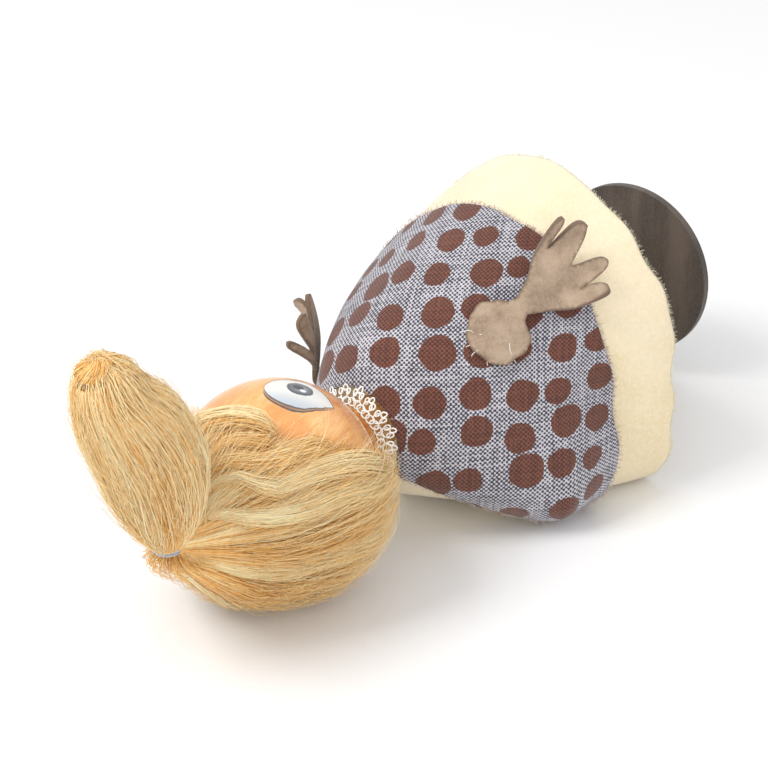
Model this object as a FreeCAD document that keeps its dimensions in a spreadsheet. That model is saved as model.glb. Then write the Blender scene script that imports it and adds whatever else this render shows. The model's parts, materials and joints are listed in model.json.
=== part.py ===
import FreeCAD, Part
import os
from math import cos, radians, sin

import Sketcher
from FreeCAD import Placement, Rotation, Vector

# A rod puppet with a moving mouth, lying on its back.
# Design frame: X runs down the body from crown to foot along the stick, Y to the puppet's own left,
# Z out of its face, with the origin on the stick at the top of the neck ring.
# The finished pieces are rolled about the stick and raised so that the costume rests on the plane Z = 0.

DOC = FreeCAD.newDocument("MovingMouthPuppet")
SHEET = DOC.addObject("Spreadsheet::Sheet", "Sizes")

SIZES = {
    # how the puppet lies
    "axis_height": 34.0,
    "roll_angle": 35.0,
    "origin_x": -20.67,
    "origin_y": 5.44,
    # head: a hollow wooden ball in two halves
    "head_x": -32.5,
    "head_radius": 28.0,
    "head_wall": 4.2,
    "head_split": 8.0,
    # mouth: angles are measured at the head's centre, from straight ahead towards the chin
    "mouth_angle": 24.0,
    "mouth_gap_angle": 1.0,
    "chin_angle": 56.0,
    "jaw_half_width": 8.0,
    "jaw_side_gap": 0.4,
    "jaw_depth": 7.4,
    "jaw_inset": 0.3,
    "jaw_pivot_x": -31.0,
    "jaw_pivot_depth": 12.0,
    "jaw_arm_side": 1.4,
    "jaw_arm_width": 3.0,
    "jaw_boss_radius": 3.4,
    "slot_floor": 6.8,
    "axle_radius": 1.0,
    "axle_half_length": 24.6,
    "running_gap": 0.05,
    # stick and what is on it
    "stick_radius": 5.0,
    "stick_bore": 3.0,
    "stick_top": -14.5,
    "stick_end": 141.0,
    "glue_ring_radius": 6.0,
    "glue_ring_length": 3.4,
    "stop_radius": 8.0,
    "stop_length": 4.0,
    "stop_gap": 0.4,
    "spring_collar_x": 128.0,
    "spring_collar_length": 5.0,
    "slot_x": 108.0,
    "slot_length": 8.0,
    "slot_width": 3.4,
    "end_plug_length": 14.0,
    "disc_radius": 28.5,
    "disc_thickness": 2.6,
    "washer_radius": 6.0,
    "washer_thickness": 0.5,
    "disc_recess": 1.5,
    "disc_recess_radius": 6.3,
    "screw_radius": 1.5,
    "screw_length": 14.0,
    "screw_head_radius": 3.4,
    "screw_head_length": 0.9,
    # trigger
    "trigger_x": 99.0,
    "trigger_length": 16.0,
    "trigger_flange_radius": 11.0,
    "trigger_waist_radius": 7.6,
    "trigger_flange": 3.0,
    "pin_radius": 1.5,
    "pin_half_length": 9.0,
    "rod_radius": 0.75,
    "eye_radius": 2.2,
    "eye_wire": 0.6,
    "link_pin_radius": 0.9,
    "spring_radius": 6.3,
    "spring_wire": 0.5,
    "spring_turns": 5.0,
    # neck ring and lace
    "neck_ring_radius": 9.0,
    "neck_ring_start": -1.0,
    "neck_ring_end": 6.0,
    "lace_start": -1.8,
    "lace_end": 3.4,
    "lace_inner": 9.2,
    "lace_outer": 17.5,
    "lace_thickness": 0.8,
    # felt skirt and dotted cape
    "felt_top": 2.0,
    "felt_hem": 82.0,
    "felt_top_radius": 11.4,
    "felt_hem_radius": 57.5,
    "felt_thickness": 2.0,
    "cape_top": 3.5,
    "cape_hem": 58.0,
    "cape_thickness": 0.8,
    "cape_gap": 0.4,
    "cape_floor_lift": 1.2,
    "floor_step": 8.0,
    "back_edge_near": -40.0,
    "back_edge_far": 215.0,
    # hands
    "hand_thickness": 1.4,
    "hand_length": 30.0,
    "hand_width": 22.0,
    "cuff_radius": 9.0,
    "wrist_clearance": 0.8,
    "thread_radius": 0.35,
    "thread_length": 4.0,
    "thread_start": 6.0,
    "cuff_depth": 3.0,
    # hair
    "hair_thickness": 3.4,
    "hair_shoulder_share": 0.45,
    "hair_crown_share": 0.62,
    "hair_neck_hole": 12.5,
    "hair_neck_end": -5.0,
    "hairline_slope": 0.9,
    "hairline_front": 9.0,
    "tie_x": -80.0,
    "tie_hair_radius": 9.0,
    "tie_thickness": 0.9,
    "tie_ring_x": -78.5,
    "tie_ring_radius": 10.3,
    "topknot_base_radius": 16.5,
    "topknot_tip_radius": 9.0,
}

for row, (alias, number) in enumerate(SIZES.items(), start=1):
    SHEET.set(f"A{row}", alias)
    SHEET.set(f"B{row}", str(number))
    SHEET.setAlias(f"B{row}", alias)
DOC.recompute()

ALONG_X = Rotation(Vector(0, 1, 0), 90)
ALONG_Y = Rotation(Vector(1, 0, 0), -90)
LAID = Placement(
    Vector(SHEET.origin_x, SHEET.origin_y, SHEET.axis_height),
    Rotation(Vector(1, 0, 0), -SHEET.roll_angle),
)
ON_FLOOR = Placement(Vector(SHEET.origin_x, SHEET.origin_y, SHEET.axis_height), Rotation())
PIECES = []


def bound(expression):
    """The expression with every size read from the sheet."""
    words = expression.split()
    return " ".join(f"Sizes.{word}" if word in SIZES else word for word in words)


def bind(item, **sizes):
    """Bind an object's properties to sums of sheet sizes."""
    for prop, expression in sizes.items():
        item.setExpression(prop.replace("__", "."), bound(expression))


def place(item, x="0", y="0", z="0"):
    """Bind an object's position in the design frame to the sheet."""
    bind(item, Placement__Base__x=x, Placement__Base__y=y, Placement__Base__z=z)


def finish(item, label, laid=LAID):
    """Name a finished piece after its node and lay it down with the puppet."""
    item.Label = label
    item.Placement = laid.multiply(item.Placement)
    PIECES.append(item)
    return item


def rod(name, x, length, radius, y="0", z="0"):
    """A cylinder along the stick's direction, from x onwards."""
    item = DOC.addObject("Part::Cylinder", name)
    item.Placement = Placement(Vector(), ALONG_X)
    bind(item, Radius=radius, Height=length)
    place(item, x, y, z)
    return item


def cross_rod(name, x, z, half_length, radius, start=None):
    """A cylinder across the puppet, centred on its middle unless a start is given."""
    item = DOC.addObject("Part::Cylinder", name)
    item.Placement = Placement(Vector(), ALONG_Y)
    bind(item, Radius=radius, Height=f"2 * ( {half_length} )")
    place(item, x, start or f"-1 * ( {half_length} )", z)
    return item


def ball(name, radius, x, y="0", z="0"):
    """A sphere in the design frame."""
    item = DOC.addObject("Part::Sphere", name)
    bind(item, Radius=radius)
    place(item, x, y, z)
    return item


def block(name, x, y, z, length, width, height):
    """A box from its lowest corner."""
    item = DOC.addObject("Part::Box", name)
    bind(item, Length=length, Width=width, Height=height)
    place(item, x, y, z)
    return item


def cut(name, base, *tools):
    """The base with every tool cut out of it."""
    item = DOC.addObject("Part::Cut", name)
    item.Base = base
    item.Tool = tools[0] if len(tools) == 1 else fuse(f"{name}_tools", *tools)
    return item


def fuse(name, *parts):
    """Several shapes joined into one."""
    item = DOC.addObject("Part::MultiFuse", name)
    item.Shapes = list(parts)
    return item


def common(name, *parts):
    """What several shapes share."""
    item = DOC.addObject("Part::MultiCommon", name)
    item.Shapes = list(parts)
    return item


def feature(name, shape):
    """A shape made with Part's own functions from sheet sizes."""
    item = DOC.addObject("Part::Feature", name)
    item.Shape = shape
    return item


def prism(name, corners, half_width):
    """A prism across the puppet, with its corners given as (x, z)."""
    loop = [Vector(x, -half_width, z) for x, z in corners]
    face = Part.Face(Part.makePolygon(loop + loop[:1]))
    return feature(name, face.extrude(Vector(0, 2 * half_width, 0)))


def turned(name, profile):
    """A PartDesign body turned about the stick, its profile given as (x, radius) expressions."""
    body = DOC.addObject("PartDesign::Body", name)
    sketch = outline(body, f"{name}_profile", "XZ_Plane", profile)
    turn = body.newObject("PartDesign::Revolution", f"{name}_turning")
    turn.Profile = sketch
    turn.ReferenceAxis = (sketch, ["H_Axis"])
    turn.Angle = 360
    return body


def outline(body, name, plane, corners):
    """A closed sketch of straight lines, with every corner bound to the sheet."""
    sketch = body.newObject("Sketcher::SketchObject", name)
    origin_plane = [item for item in body.Origin.OriginFeatures if item.Role == plane][0]
    sketch.AttachmentSupport = [(origin_plane, "")]
    sketch.MapMode = "FlatFace"
    values = [(measure(u), measure(v)) for u, v in corners]
    for index, (start, end) in enumerate(zip(values, values[1:] + values[:1])):
        sketch.addGeometry(Part.LineSegment(Vector(*start, 0), Vector(*end, 0)))
        if index:
            sketch.addConstraint(Sketcher.Constraint("Coincident", index - 1, 2, index, 1))
    sketch.addConstraint(Sketcher.Constraint("Coincident", len(values) - 1, 2, 0, 1))
    for index, (corner, value) in enumerate(zip(corners, values)):
        for direction, expression, number in zip(("DistanceX", "DistanceY"), corner, value):
            rule = sketch.addConstraint(Sketcher.Constraint(direction, -1, 1, index, 1, number))
            sketch.setExpression(f"Constraints[{rule}]", bound(expression))
    return sketch


def measure(expression):
    """A sheet expression's value."""
    total = SHEET.evalExpression(bound(expression).replace("Sizes.", ""))
    return float(getattr(total, "Value", total))


def polar(angle, radius):
    """A point round the stick, the angle measured from the near side over the top."""
    return Vector(0, -radius * cos(radians(angle)), radius * sin(radians(angle)))


def blend_value(stations, x):
    """A value read between stations, given as (x, value) in rising x."""
    for (x0, v0), (x1, v1) in zip(stations, stations[1:]):
        if x <= x1:
            return v0 + (v1 - v0) * (x - x0) / (x1 - x0)
    return stations[-1][1]


# ---------------------------------------------------------------- costume

AROUND = [step * 30.0 for step in range(-3, 9)]
HEM_SHAPE = (0.72, 0.84, 1.04, 0.96, 1.0, 1.045, 1.025, 0.88, 0.80, 0.78, 0.83, 0.80)
DOME = [(2, 0.198), (6, 0.30), (12, 0.40), (20, 0.50), (32, 0.63), (46, 0.76), (60, 0.87), (72, 0.95), (82, 1.0),
        (92, 1.06)]
CAPE_FLARE = [(3, 0.0), (15, 4.0), (25, 8.0), (39, 13.0), (50, 7.0), (58, 4.0), (62, 3.5)]


def dome_radius(x, angle_index, flare=0.0):
    """The felt's outer radius at a station and one of the angles in AROUND."""
    spread = max(0.0, (x - 6.0) / (SHEET.felt_hem - 6.0))
    radius = SHEET.felt_hem_radius * blend_value(DOME, x)
    lift = flare if AROUND[angle_index] == -30.0 else 0.3 * flare if AROUND[angle_index] == 0.0 else 0.0
    return radius * (1 + (HEM_SHAPE[angle_index] - 1) * spread) + lift


FELT_STATIONS = [SHEET.felt_top, 6, 12, 20, 32, 46, 60, 72, SHEET.felt_hem]
CAPE_STATIONS = [SHEET.cape_top, 6, 12, 20, 25, 32, 39, 46, 52, SHEET.cape_hem]
FAR = 300.0


def dome(stations, offset, flared=False):
    """A solid dome lofted through rings round the stick, its radius changed by the offset."""
    rings = []
    for x in stations:
        flare = blend_value(CAPE_FLARE, x) if flared else 0.0
        points = [
            polar(angle, dome_radius(x, index, flare) + offset) + Vector(x, 0, 0)
            for index, angle in enumerate(AROUND)
        ]
        ring = Part.BSplineCurve()
        ring.interpolate(points, PeriodicFlag=True)
        rings.append(Part.Wire(ring.toShape()))
    return Part.makeLoft(rings, True, True)


def above(shape, corners):
    """The part of a shape above a floor line, given as (x, height over the plane)."""
    line = [Vector(x, -FAR, height - SHEET.axis_height) for x, height in corners]
    roof = [Vector(corners[-1][0], -FAR, FAR), Vector(corners[0][0], -FAR, FAR)]
    loop = line + roof
    room = Part.Face(Part.makePolygon(loop + loop[:1])).extrude(Vector(0, 2 * FAR, 0))
    return shape.common(room)


def felt_skirt():
    """The felt skirt: a dome open below, flat where it rests."""
    lift = SHEET.cape_floor_lift
    step_start = SHEET.cape_hem + 1
    under_cape = [(-FAR, lift), (step_start, lift), (step_start + SHEET.floor_step, 0), (FAR, 0)]
    inside_floor = [(x, height + SHEET.felt_thickness) for x, height in under_cape]
    outside = above(dome(FELT_STATIONS, 0), under_cape)
    hollow_stations = [SHEET.felt_top - 1] + FELT_STATIONS[1:-1] + [SHEET.felt_hem + 4]
    hollow = above(dome(hollow_stations, -SHEET.felt_thickness), inside_floor)
    return outside.cut(hollow)


def dotted_cape():
    """The cotton cape: a thin dome over the felt, open along the back."""
    floor = [(-FAR, 0), (FAR, 0)]
    raised = [(x, height + SHEET.cape_thickness) for x, height in floor]
    outside = above(dome(CAPE_STATIONS, SHEET.cape_gap + SHEET.cape_thickness, True), floor)
    hollow_stations = [SHEET.cape_top - 0.5] + CAPE_STATIONS[1:-1] + [SHEET.cape_hem + 2]
    hollow = above(dome(hollow_stations, SHEET.cape_gap, True), raised)
    quarter = (360 + SHEET.back_edge_near - SHEET.back_edge_far) / 4
    corner = Vector(-FAR, 0, 0)
    loop = [corner] + [polar(SHEET.back_edge_far + step * quarter, FAR) + corner for step in range(5)]
    opening = Part.Face(Part.makePolygon(loop + loop[:1])).extrude(Vector(2 * FAR, 0, 0))
    return outside.cut(hollow).cut(opening)


finish(
    cut(
        "neck_ring",
        rod("neck_ring_wood", "neck_ring_start", "neck_ring_end - neck_ring_start", "neck_ring_radius"),
        rod("neck_ring_hole", "neck_ring_start - 1", "neck_ring_end - neck_ring_start + 2",
            "stick_radius + running_gap"),
    ),
    "neck_ring",
)
finish(feature("felt_skirt", felt_skirt()), "felt_skirt", ON_FLOOR)
finish(feature("dotted_cape", dotted_cape()), "dotted_cape", ON_FLOOR)
finish(
    turned("lace_collar", [
        ("lace_start", "lace_inner"),
        ("lace_start + lace_thickness", "lace_inner"),
        ("lace_end", "lace_outer - 1"),
        ("lace_end", "lace_outer"),
        ("lace_end - lace_thickness", "lace_outer"),
        ("lace_start", "lace_inner + 1"),
    ]),
    "lace_collar",
)

# ---------------------------------------------------------------- head

pivot_z = -SHEET.jaw_pivot_depth
head_ball = cut(
    "head_shell",
    ball("head_outside", "head_radius", "head_x"),
    ball("head_inside", "head_radius - head_wall", "head_x"),
    rod("head_neck_hole", "head_x", "head_radius + 5", "stick_radius"),
    cross_rod("head_axle_hole", "jaw_pivot_x", "-1 * jaw_pivot_depth", "axle_half_length + 5", "axle_radius"),
)


def head_point(angle, radius):
    """A point (x, z) at an angle from straight ahead towards the chin, round the head's centre."""
    return SHEET.head_x + radius * sin(radians(angle)), radius * cos(radians(angle))


slot_top_angle = SHEET.mouth_angle - SHEET.mouth_gap_angle
slot_corners = [
    head_point(slot_top_angle, 12.0),
    head_point(slot_top_angle, SHEET.head_radius + 8),
    (5.0, SHEET.head_radius + 4),
    (5.0, SHEET.slot_floor),
    (head_point(slot_top_angle, 12.0)[0], SHEET.slot_floor),
]
mouth_slot = prism("mouth_slot", slot_corners, SHEET.jaw_half_width + SHEET.jaw_side_gap)
front_room = block("front_room", "head_x - 40", "-40", "-1 * head_split", "80", "80", "80")
back_room = block("back_room", "head_x - 40", "-40", "-1 * head_split - 80", "80", "80", "80")
finish(cut("head_front", common("head_front_half", head_ball, front_room), mouth_slot), "head_front")
finish(common("head_back", head_ball, back_room), "head_back")

mouth_wedge = prism(
    "jaw_wedge",
    [
        head_point(SHEET.mouth_angle, 0.0),
        head_point(SHEET.mouth_angle, 60.0),
        head_point(SHEET.chin_angle, 60.0),
    ],
    SHEET.jaw_half_width,
)
jaw_face = cut(
    "jaw_face",
    common("jaw_front", ball("jaw_outside", "head_radius - jaw_inset", "head_x"), mouth_wedge),
    ball("jaw_inside", "head_radius - jaw_depth - jaw_inset", "head_x"),
)
arm_half = SHEET.jaw_arm_width / 2
arm_corners = [
    (SHEET.jaw_pivot_x - SHEET.jaw_boss_radius, pivot_z),
    (SHEET.jaw_pivot_x - SHEET.jaw_boss_radius + 0.5, 2.0),
    head_point(27.0, 21.5),
    head_point(46.0, 21.5),
    (SHEET.jaw_pivot_x + SHEET.jaw_boss_radius, pivot_z),
]
jaw_arm = prism("jaw_arm", arm_corners, arm_half)
jaw_arm.Placement = Placement(Vector(0, -SHEET.jaw_arm_side - arm_half, 0), Rotation())
jaw_boss = cross_rod("jaw_boss", "jaw_pivot_x", "-1 * jaw_pivot_depth", "jaw_arm_width / 2", "jaw_boss_radius",
                     "-1 * jaw_arm_side - jaw_arm_width")
finish(
    cut(
        "jaw",
        fuse("jaw_wood", jaw_face, jaw_arm, jaw_boss),
        cross_rod("jaw_pivot_hole", "jaw_pivot_x", "-1 * jaw_pivot_depth", "axle_half_length",
                  "axle_radius + running_gap"),
        cross_rod("jaw_link_hole", "jaw_pivot_x", "0", "jaw_arm_width / 2", "link_pin_radius",
                  "-1 * jaw_arm_side - jaw_arm_width"),
    ),
    "jaw",
)
finish(
    fuse(
        "jaw_link_pin",
        cross_rod("link_pin_shank", "jaw_pivot_x", "0", "jaw_arm_side / 2 + jaw_arm_width / 2 + 0.6",
                  "link_pin_radius", "-1 * jaw_arm_side - jaw_arm_width"),
        cross_rod("link_pin_head", "jaw_pivot_x", "0", "0.4", "link_pin_radius + 0.6",
                  "-1 * jaw_arm_side - jaw_arm_width - 0.8"),
    ),
    "jaw_link_pin",
)
finish(
    common(
        "jaw_axle",
        cross_rod("axle_wire", "jaw_pivot_x", "-1 * jaw_pivot_depth", "axle_half_length + 5", "axle_radius"),
        ball("axle_trim", "head_radius - jaw_inset", "head_x"),
    ),
    "jaw_axle",
)

# ---------------------------------------------------------------- stick, trigger and foot disc

finish(
    cut(
        "stick_tube",
        rod("stick_wood", "stick_top", "stick_end - stick_top", "stick_radius"),
        rod("stick_drilling", "stick_top - 1", "stick_end - stick_top + 2", "stick_bore"),
        block("stick_slot", "slot_x - slot_width / 2 - 1", "-20", "-1 * slot_width / 2", "slot_length", "40",
              "slot_width"),
    ),
    "stick_tube",
)
finish(
    cut(
        "glue_ring",
        common(
            "glue_ring_seated",
            rod("glue_ring_wood", "stick_top", "glue_ring_length + 3", "glue_ring_radius"),
            ball("glue_ring_seat", "head_radius - head_wall", "head_x"),
        ),
        rod("glue_ring_hole", "stick_top - 1", "20", "stick_radius"),
    ),
    "glue_ring",
)
finish(
    cut(
        "neck_stop",
        rod("neck_stop_wood", "neck_ring_end + stop_gap", "stop_length", "stop_radius"),
        rod("neck_stop_hole", "neck_ring_end", "stop_length + 2", "stick_radius"),
    ),
    "neck_stop",
)
finish(
    cut(
        "spring_collar",
        rod("spring_collar_wood", "spring_collar_x", "spring_collar_length", "stop_radius"),
        rod("spring_collar_hole", "spring_collar_x - 1", "spring_collar_length + 2", "stick_radius"),
    ),
    "spring_collar",
)
screw_seat = "stick_end + disc_thickness - disc_recess + washer_thickness"
finish(
    cut(
        "end_plug",
        rod("end_plug_wood", "stick_end - end_plug_length", "end_plug_length", "stick_bore"),
        rod("end_plug_hole", f"{screw_seat} - screw_length", "screw_length", "screw_radius"),
    ),
    "end_plug",
)
finish(
    cut(
        "base_disc",
        rod("base_disc_leather", "stick_end", "disc_thickness", "disc_radius"),
        rod("base_disc_hole", "stick_end - 1", "disc_thickness + 2", "screw_radius"),
        rod("base_disc_recess", "stick_end + disc_thickness - disc_recess", "disc_recess + 1",
            "disc_recess_radius"),
    ),
    "base_disc",
)
finish(
    cut(
        "disc_washer",
        rod("disc_washer_steel", "stick_end + disc_thickness - disc_recess", "washer_thickness", "washer_radius"),
        rod("disc_washer_hole", "stick_end", "disc_thickness + washer_thickness + 1", "screw_radius"),
    ),
    "disc_washer",
)
finish(
    cut(
        "disc_screw",
        fuse(
            "disc_screw_blank",
            rod("disc_screw_shank", f"{screw_seat} - screw_length", "screw_length", "screw_radius"),
            rod("disc_screw_head", screw_seat, "screw_head_length", "screw_head_radius"),
        ),
        block("disc_screw_slot", f"{screw_seat} + 0.4", "-5", "-0.45", "screw_head_length", "10", "0.9"),
    ),
    "disc_screw",
)

trigger_end = "trigger_x + trigger_length"
sleeve = turned("trigger_sleeve_turned", [
    ("trigger_x", "stick_radius + running_gap"),
    (trigger_end, "stick_radius + running_gap"),
    (trigger_end, "trigger_flange_radius"),
    (f"{trigger_end} - trigger_flange", "trigger_flange_radius"),
    (f"{trigger_end} - trigger_flange - 1.4", "trigger_waist_radius"),
    ("trigger_x + trigger_flange + 1.4", "trigger_waist_radius"),
    ("trigger_x + trigger_flange", "trigger_flange_radius"),
    ("trigger_x", "trigger_flange_radius"),
])
finish(
    cut(
        "trigger_sleeve",
        sleeve,
        cross_rod("sleeve_pin_hole", "slot_x", "0", "pin_half_length + 5", "pin_radius"),
    ),
    "trigger_sleeve",
)
finish(
    common(
        "cross_pin",
        cross_rod("cross_pin_wire", "slot_x", "0", "pin_half_length + 5", "pin_radius"),
        rod("cross_pin_trim", "trigger_x", "trigger_length", "trigger_waist_radius"),
    ),
    "cross_pin",
)


def eye(name, x):
    """A wire ring that lies in the puppet's middle plane, centred on the stick."""
    ring = DOC.addObject("Part::Torus", name)
    ring.Placement = Placement(Vector(), ALONG_Y)
    bind(ring, Radius1="eye_radius", Radius2="eye_wire")
    place(ring, x)
    return ring


finish(
    fuse(
        "pull_rod",
        eye("jaw_eye", "jaw_pivot_x"),
        rod("pull_wire", "jaw_pivot_x + eye_radius", "slot_x - jaw_pivot_x - 2 * eye_radius", "rod_radius"),
        eye("trigger_eye", "slot_x"),
    ),
    "pull_rod",
)


def return_spring():
    """A compression spring between the trigger and its collar, each half turn a tilted half ring."""
    start = SHEET.trigger_x + SHEET.trigger_length + SHEET.spring_wire
    halves = int(2 * SHEET.spring_turns)
    rise = (SHEET.spring_collar_x - start - SHEET.spring_wire) / halves
    coils = []
    for step in range(halves):
        side = SHEET.spring_radius * (-1) ** step
        first = Vector(start + step * rise, 0, side)
        last = Vector(start + (step + 1) * rise, 0, -side)
        section = Part.Face(Part.Wire(Part.makeCircle(SHEET.spring_wire, first, Vector(0, 1, 0))))
        swing = (last - first).cross(Vector(0, 1, 0)).normalize() * (-1) ** step
        coils.append(section.revolve((first + last) / 2, swing, 180))
    return coils[0].multiFuse(coils[1:])


finish(feature("return_spring", return_spring()), "return_spring")

# ---------------------------------------------------------------- hair


def gathered_hair():
    """The hair's outer form: a ball round the head, drawn out to the tie beyond the crown."""
    radius = SHEET.head_radius + SHEET.hair_thickness
    shoulder_x = SHEET.head_x - SHEET.head_radius * SHEET.hair_shoulder_share
    shoulder_radius = (radius ** 2 - (shoulder_x - SHEET.head_x) ** 2) ** 0.5
    taper = Part.makeCone(SHEET.tie_hair_radius, shoulder_radius, shoulder_x - SHEET.tie_x,
                          Vector(SHEET.tie_x, 0, 0), Vector(1, 0, 0))
    return Part.makeSphere(radius, Vector(SHEET.head_x, 0, 0)).fuse(taper)


def hairline(x):
    """The height of the hairline over the stick."""
    return SHEET.hairline_front - SHEET.hairline_slope * (x - SHEET.head_x)


def hair_mass():
    """Hair round the sides and back of the head, drawn in to the tie beyond the crown."""
    centre = Vector(SHEET.head_x, 0, 0)
    radius = SHEET.head_radius + SHEET.hair_thickness
    lying = Vector(0, sin(radians(SHEET.roll_angle)), -cos(radians(SHEET.roll_angle)))
    settled = Part.makeSphere(radius, centre + lying * (SHEET.axis_height - radius))
    hair = gathered_hair().fuse(settled).cut(Part.makeSphere(SHEET.head_radius + SHEET.running_gap, centre))
    crown_x = SHEET.head_x - SHEET.hair_crown_share * SHEET.head_radius
    loop = [Vector(crown_x, -FAR, FAR), Vector(crown_x, -FAR, hairline(crown_x)),
            Vector(FAR, -FAR, hairline(FAR)), Vector(FAR, -FAR, FAR)]
    face_room = Part.Face(Part.makePolygon(loop + loop[:1])).extrude(Vector(0, 2 * FAR, 0))
    neck_room = Part.makeBox(FAR, 2 * FAR, 2 * FAR, Vector(SHEET.hair_neck_end, -FAR, -FAR))
    neck_hole = Part.makeCylinder(SHEET.hair_neck_hole, FAR, centre, Vector(1, 0, 0))
    return hair.cut(face_room).cut(neck_room).cut(neck_hole)


finish(feature("hair_mass", hair_mass()), "hair_mass")

TOPKNOT_FOOT = Vector(-75, 0, 10)
TOPKNOT_TIP = Vector(-93, 0, 55)
TOPKNOT_AXIS = (TOPKNOT_TIP - TOPKNOT_FOOT).normalize()


def tie_ring(clearance=0.0):
    """The thread wound round the gathered hair."""
    return Part.makeTorus(SHEET.tie_ring_radius, SHEET.tie_thickness + clearance,
                          Vector(SHEET.tie_ring_x, 0, 0), Vector(1, 0, 0))


def tip_ring(clearance=0.0):
    """The thread wound round the topknot's tip."""
    return Part.makeTorus(SHEET.topknot_tip_radius, SHEET.tie_thickness + clearance, TOPKNOT_TIP, TOPKNOT_AXIS)


def topknot():
    """The lock that stands up from the tie, drawn in towards its tip."""
    length = (TOPKNOT_TIP - TOPKNOT_FOOT).Length
    lock = Part.makeCone(SHEET.topknot_base_radius, SHEET.topknot_tip_radius, length, TOPKNOT_FOOT, TOPKNOT_AXIS)
    base = Part.makeSphere(SHEET.topknot_base_radius, TOPKNOT_FOOT)
    room = SHEET.running_gap
    return lock.fuse(base).cut(gathered_hair()).cut(tie_ring(room)).cut(tip_ring(room))


def topknot_tip():
    """The folded end of the topknot beyond its tie."""
    below = Part.makeCylinder(FAR, FAR, TOPKNOT_TIP, TOPKNOT_AXIS * -1)
    return Part.makeSphere(SHEET.topknot_tip_radius, TOPKNOT_TIP).cut(below).cut(tip_ring(SHEET.running_gap))


finish(feature("topknot", topknot()), "topknot", ON_FLOOR)
finish(feature("topknot_tip", topknot_tip()), "topknot_tip", ON_FLOOR)
finish(feature("tip_tie", tip_ring()), "tip_tie", ON_FLOOR)
finish(feature("crown_tie", tie_ring().cut(gathered_hair())), "crown_tie", ON_FLOOR)

# ---------------------------------------------------------------- hands

# A hand's outline, from its wrist round four fingers, as shares of its length and width.
HAND_OUTLINE = [
    (0.00, -0.13), (0.22, -0.26), (0.42, -0.42), (0.72, -0.50), (0.78, -0.40), (0.72, -0.31), (0.52, -0.25),
    (0.88, -0.22), (0.95, -0.12), (0.90, -0.01), (0.58, 0.08), (0.72, 0.16), (0.90, 0.30), (0.96, 0.42),
    (0.90, 0.52), (0.80, 0.54), (0.46, 0.42), (0.72, 0.60), (0.76, 0.68), (0.68, 0.70), (0.38, 0.48),
    (0.20, 0.26), (0.00, 0.13),
]


def hand_frame(wrist, along, outward):
    """The placement of a hand: its length, its width and its back's direction."""
    along = Vector(along).normalize()
    across = Vector(outward).cross(along).normalize()
    return Placement(Vector(wrist), Rotation(along, across, along.cross(across), "XZY"))


def hand(name, frame, side):
    """A flat leather hand, padded from its outline."""
    body = DOC.addObject("PartDesign::Body", name)
    corners = [
        (f"hand_length * {along} + wrist_clearance", f"hand_width * {across * side}")
        for along, across in HAND_OUTLINE
    ]
    pad = body.newObject("PartDesign::Pad", f"{name}_pad")
    pad.Profile = outline(body, f"{name}_outline", "XY_Plane", corners)
    bind(pad, Length="hand_thickness")
    pad.Midplane = True
    body.Placement = frame
    return body


def cuff(centre, outward):
    """A leather cuff, its underside hollowed to the cape it is sewn on."""
    outward = Vector(outward).normalize()
    height = SHEET.cuff_depth + SHEET.hand_thickness
    blank = Part.makeCylinder(SHEET.cuff_radius, height, centre - outward * SHEET.cuff_depth, outward)
    cape_outside = SHEET.cape_gap + SHEET.cape_thickness
    return blank.cut(dome(CAPE_STATIONS, cape_outside + SHEET.running_gap, True))


def stitches(centre, outward, start):
    """Short ends of the thread that sews a cuff on, lying across its rim."""
    outward = Vector(outward).normalize()
    side = outward.cross(Vector(1, 0, 0)).normalize()
    threads = []
    for turn in range(5):
        spoke = Rotation(outward, start + turn * 35.0).multVec(side)
        height = outward * (SHEET.hand_thickness + SHEET.thread_radius + SHEET.running_gap)
        start_point = centre + height + spoke * SHEET.thread_start
        threads.append(Part.makeCylinder(SHEET.thread_radius, SHEET.thread_length, start_point, spoke))
    return threads


def on_cape(x, angle, radius):
    """A point on the cape, in the frame the puppet lies in."""
    return polar(angle, radius) + Vector(x, 0, 0)


HANDS = {
    "right": {
        "cuff": (on_cape(32.5, 46.7, 38.0), Vector(-0.51, -0.59, 0.626)),
        "hand": (Vector(39.3, -29.0, 34.0), Vector(0.838, -0.375, 0.394), Vector(-0.54, -0.664, 0.515)),
        "side": 1,
        "stitch_start": 150.0,
    },
    "left": {
        "cuff": (on_cape(28.0, 203.0, 32.3), Vector(-0.51, 0.79, -0.34)),
        "hand": (Vector(27.0, 35.5, -5.0), Vector(-0.12, 0.0, 0.99), Vector(-0.54, 0.784, -0.066)),
        "side": -1,
        "stitch_start": 120.0,
    },
}
thread_ends = []
for side_name, plan in HANDS.items():
    finish(hand(f"{side_name}_hand", hand_frame(*plan["hand"]), plan["side"]), f"{side_name}_hand", ON_FLOOR)
    finish(feature(f"{side_name}_cuff", cuff(*plan["cuff"])), f"{side_name}_cuff", ON_FLOOR)
    thread_ends += stitches(*plan["cuff"], plan["stitch_start"])
finish(feature("cuff_stitches", Part.makeCompound(thread_ends)), "cuff_stitches", ON_FLOOR)

# ---------------------------------------------------------------- check and write

DOC.recompute()
failed = [item.Name for item in DOC.Objects if {"Invalid", "Error"} & set(item.State)]
bad = [item.Label for item in PIECES if item.Shape.isNull() or not item.Shape.isValid()]
if failed or bad:
    raise RuntimeError(f"failed objects {failed}, bad shapes {bad}")

os.makedirs("parts", exist_ok=True)
for piece in PIECES:
    piece.Shape.exportStep(f"parts/{piece.Label}.step")
    print(piece.Label, len(piece.Shape.Solids), round(piece.Shape.Volume, 1))
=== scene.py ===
"""Looks of a rod puppet with a moving mouth, lying on its back on a pale floor."""

import json
import logging
import math
from dataclasses import dataclass
from enum import Enum
from typing import Sequence

import bmesh
import bpy
import numpy as np
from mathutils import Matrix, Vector, geometry
from mathutils.bvhtree import BVHTree


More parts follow.
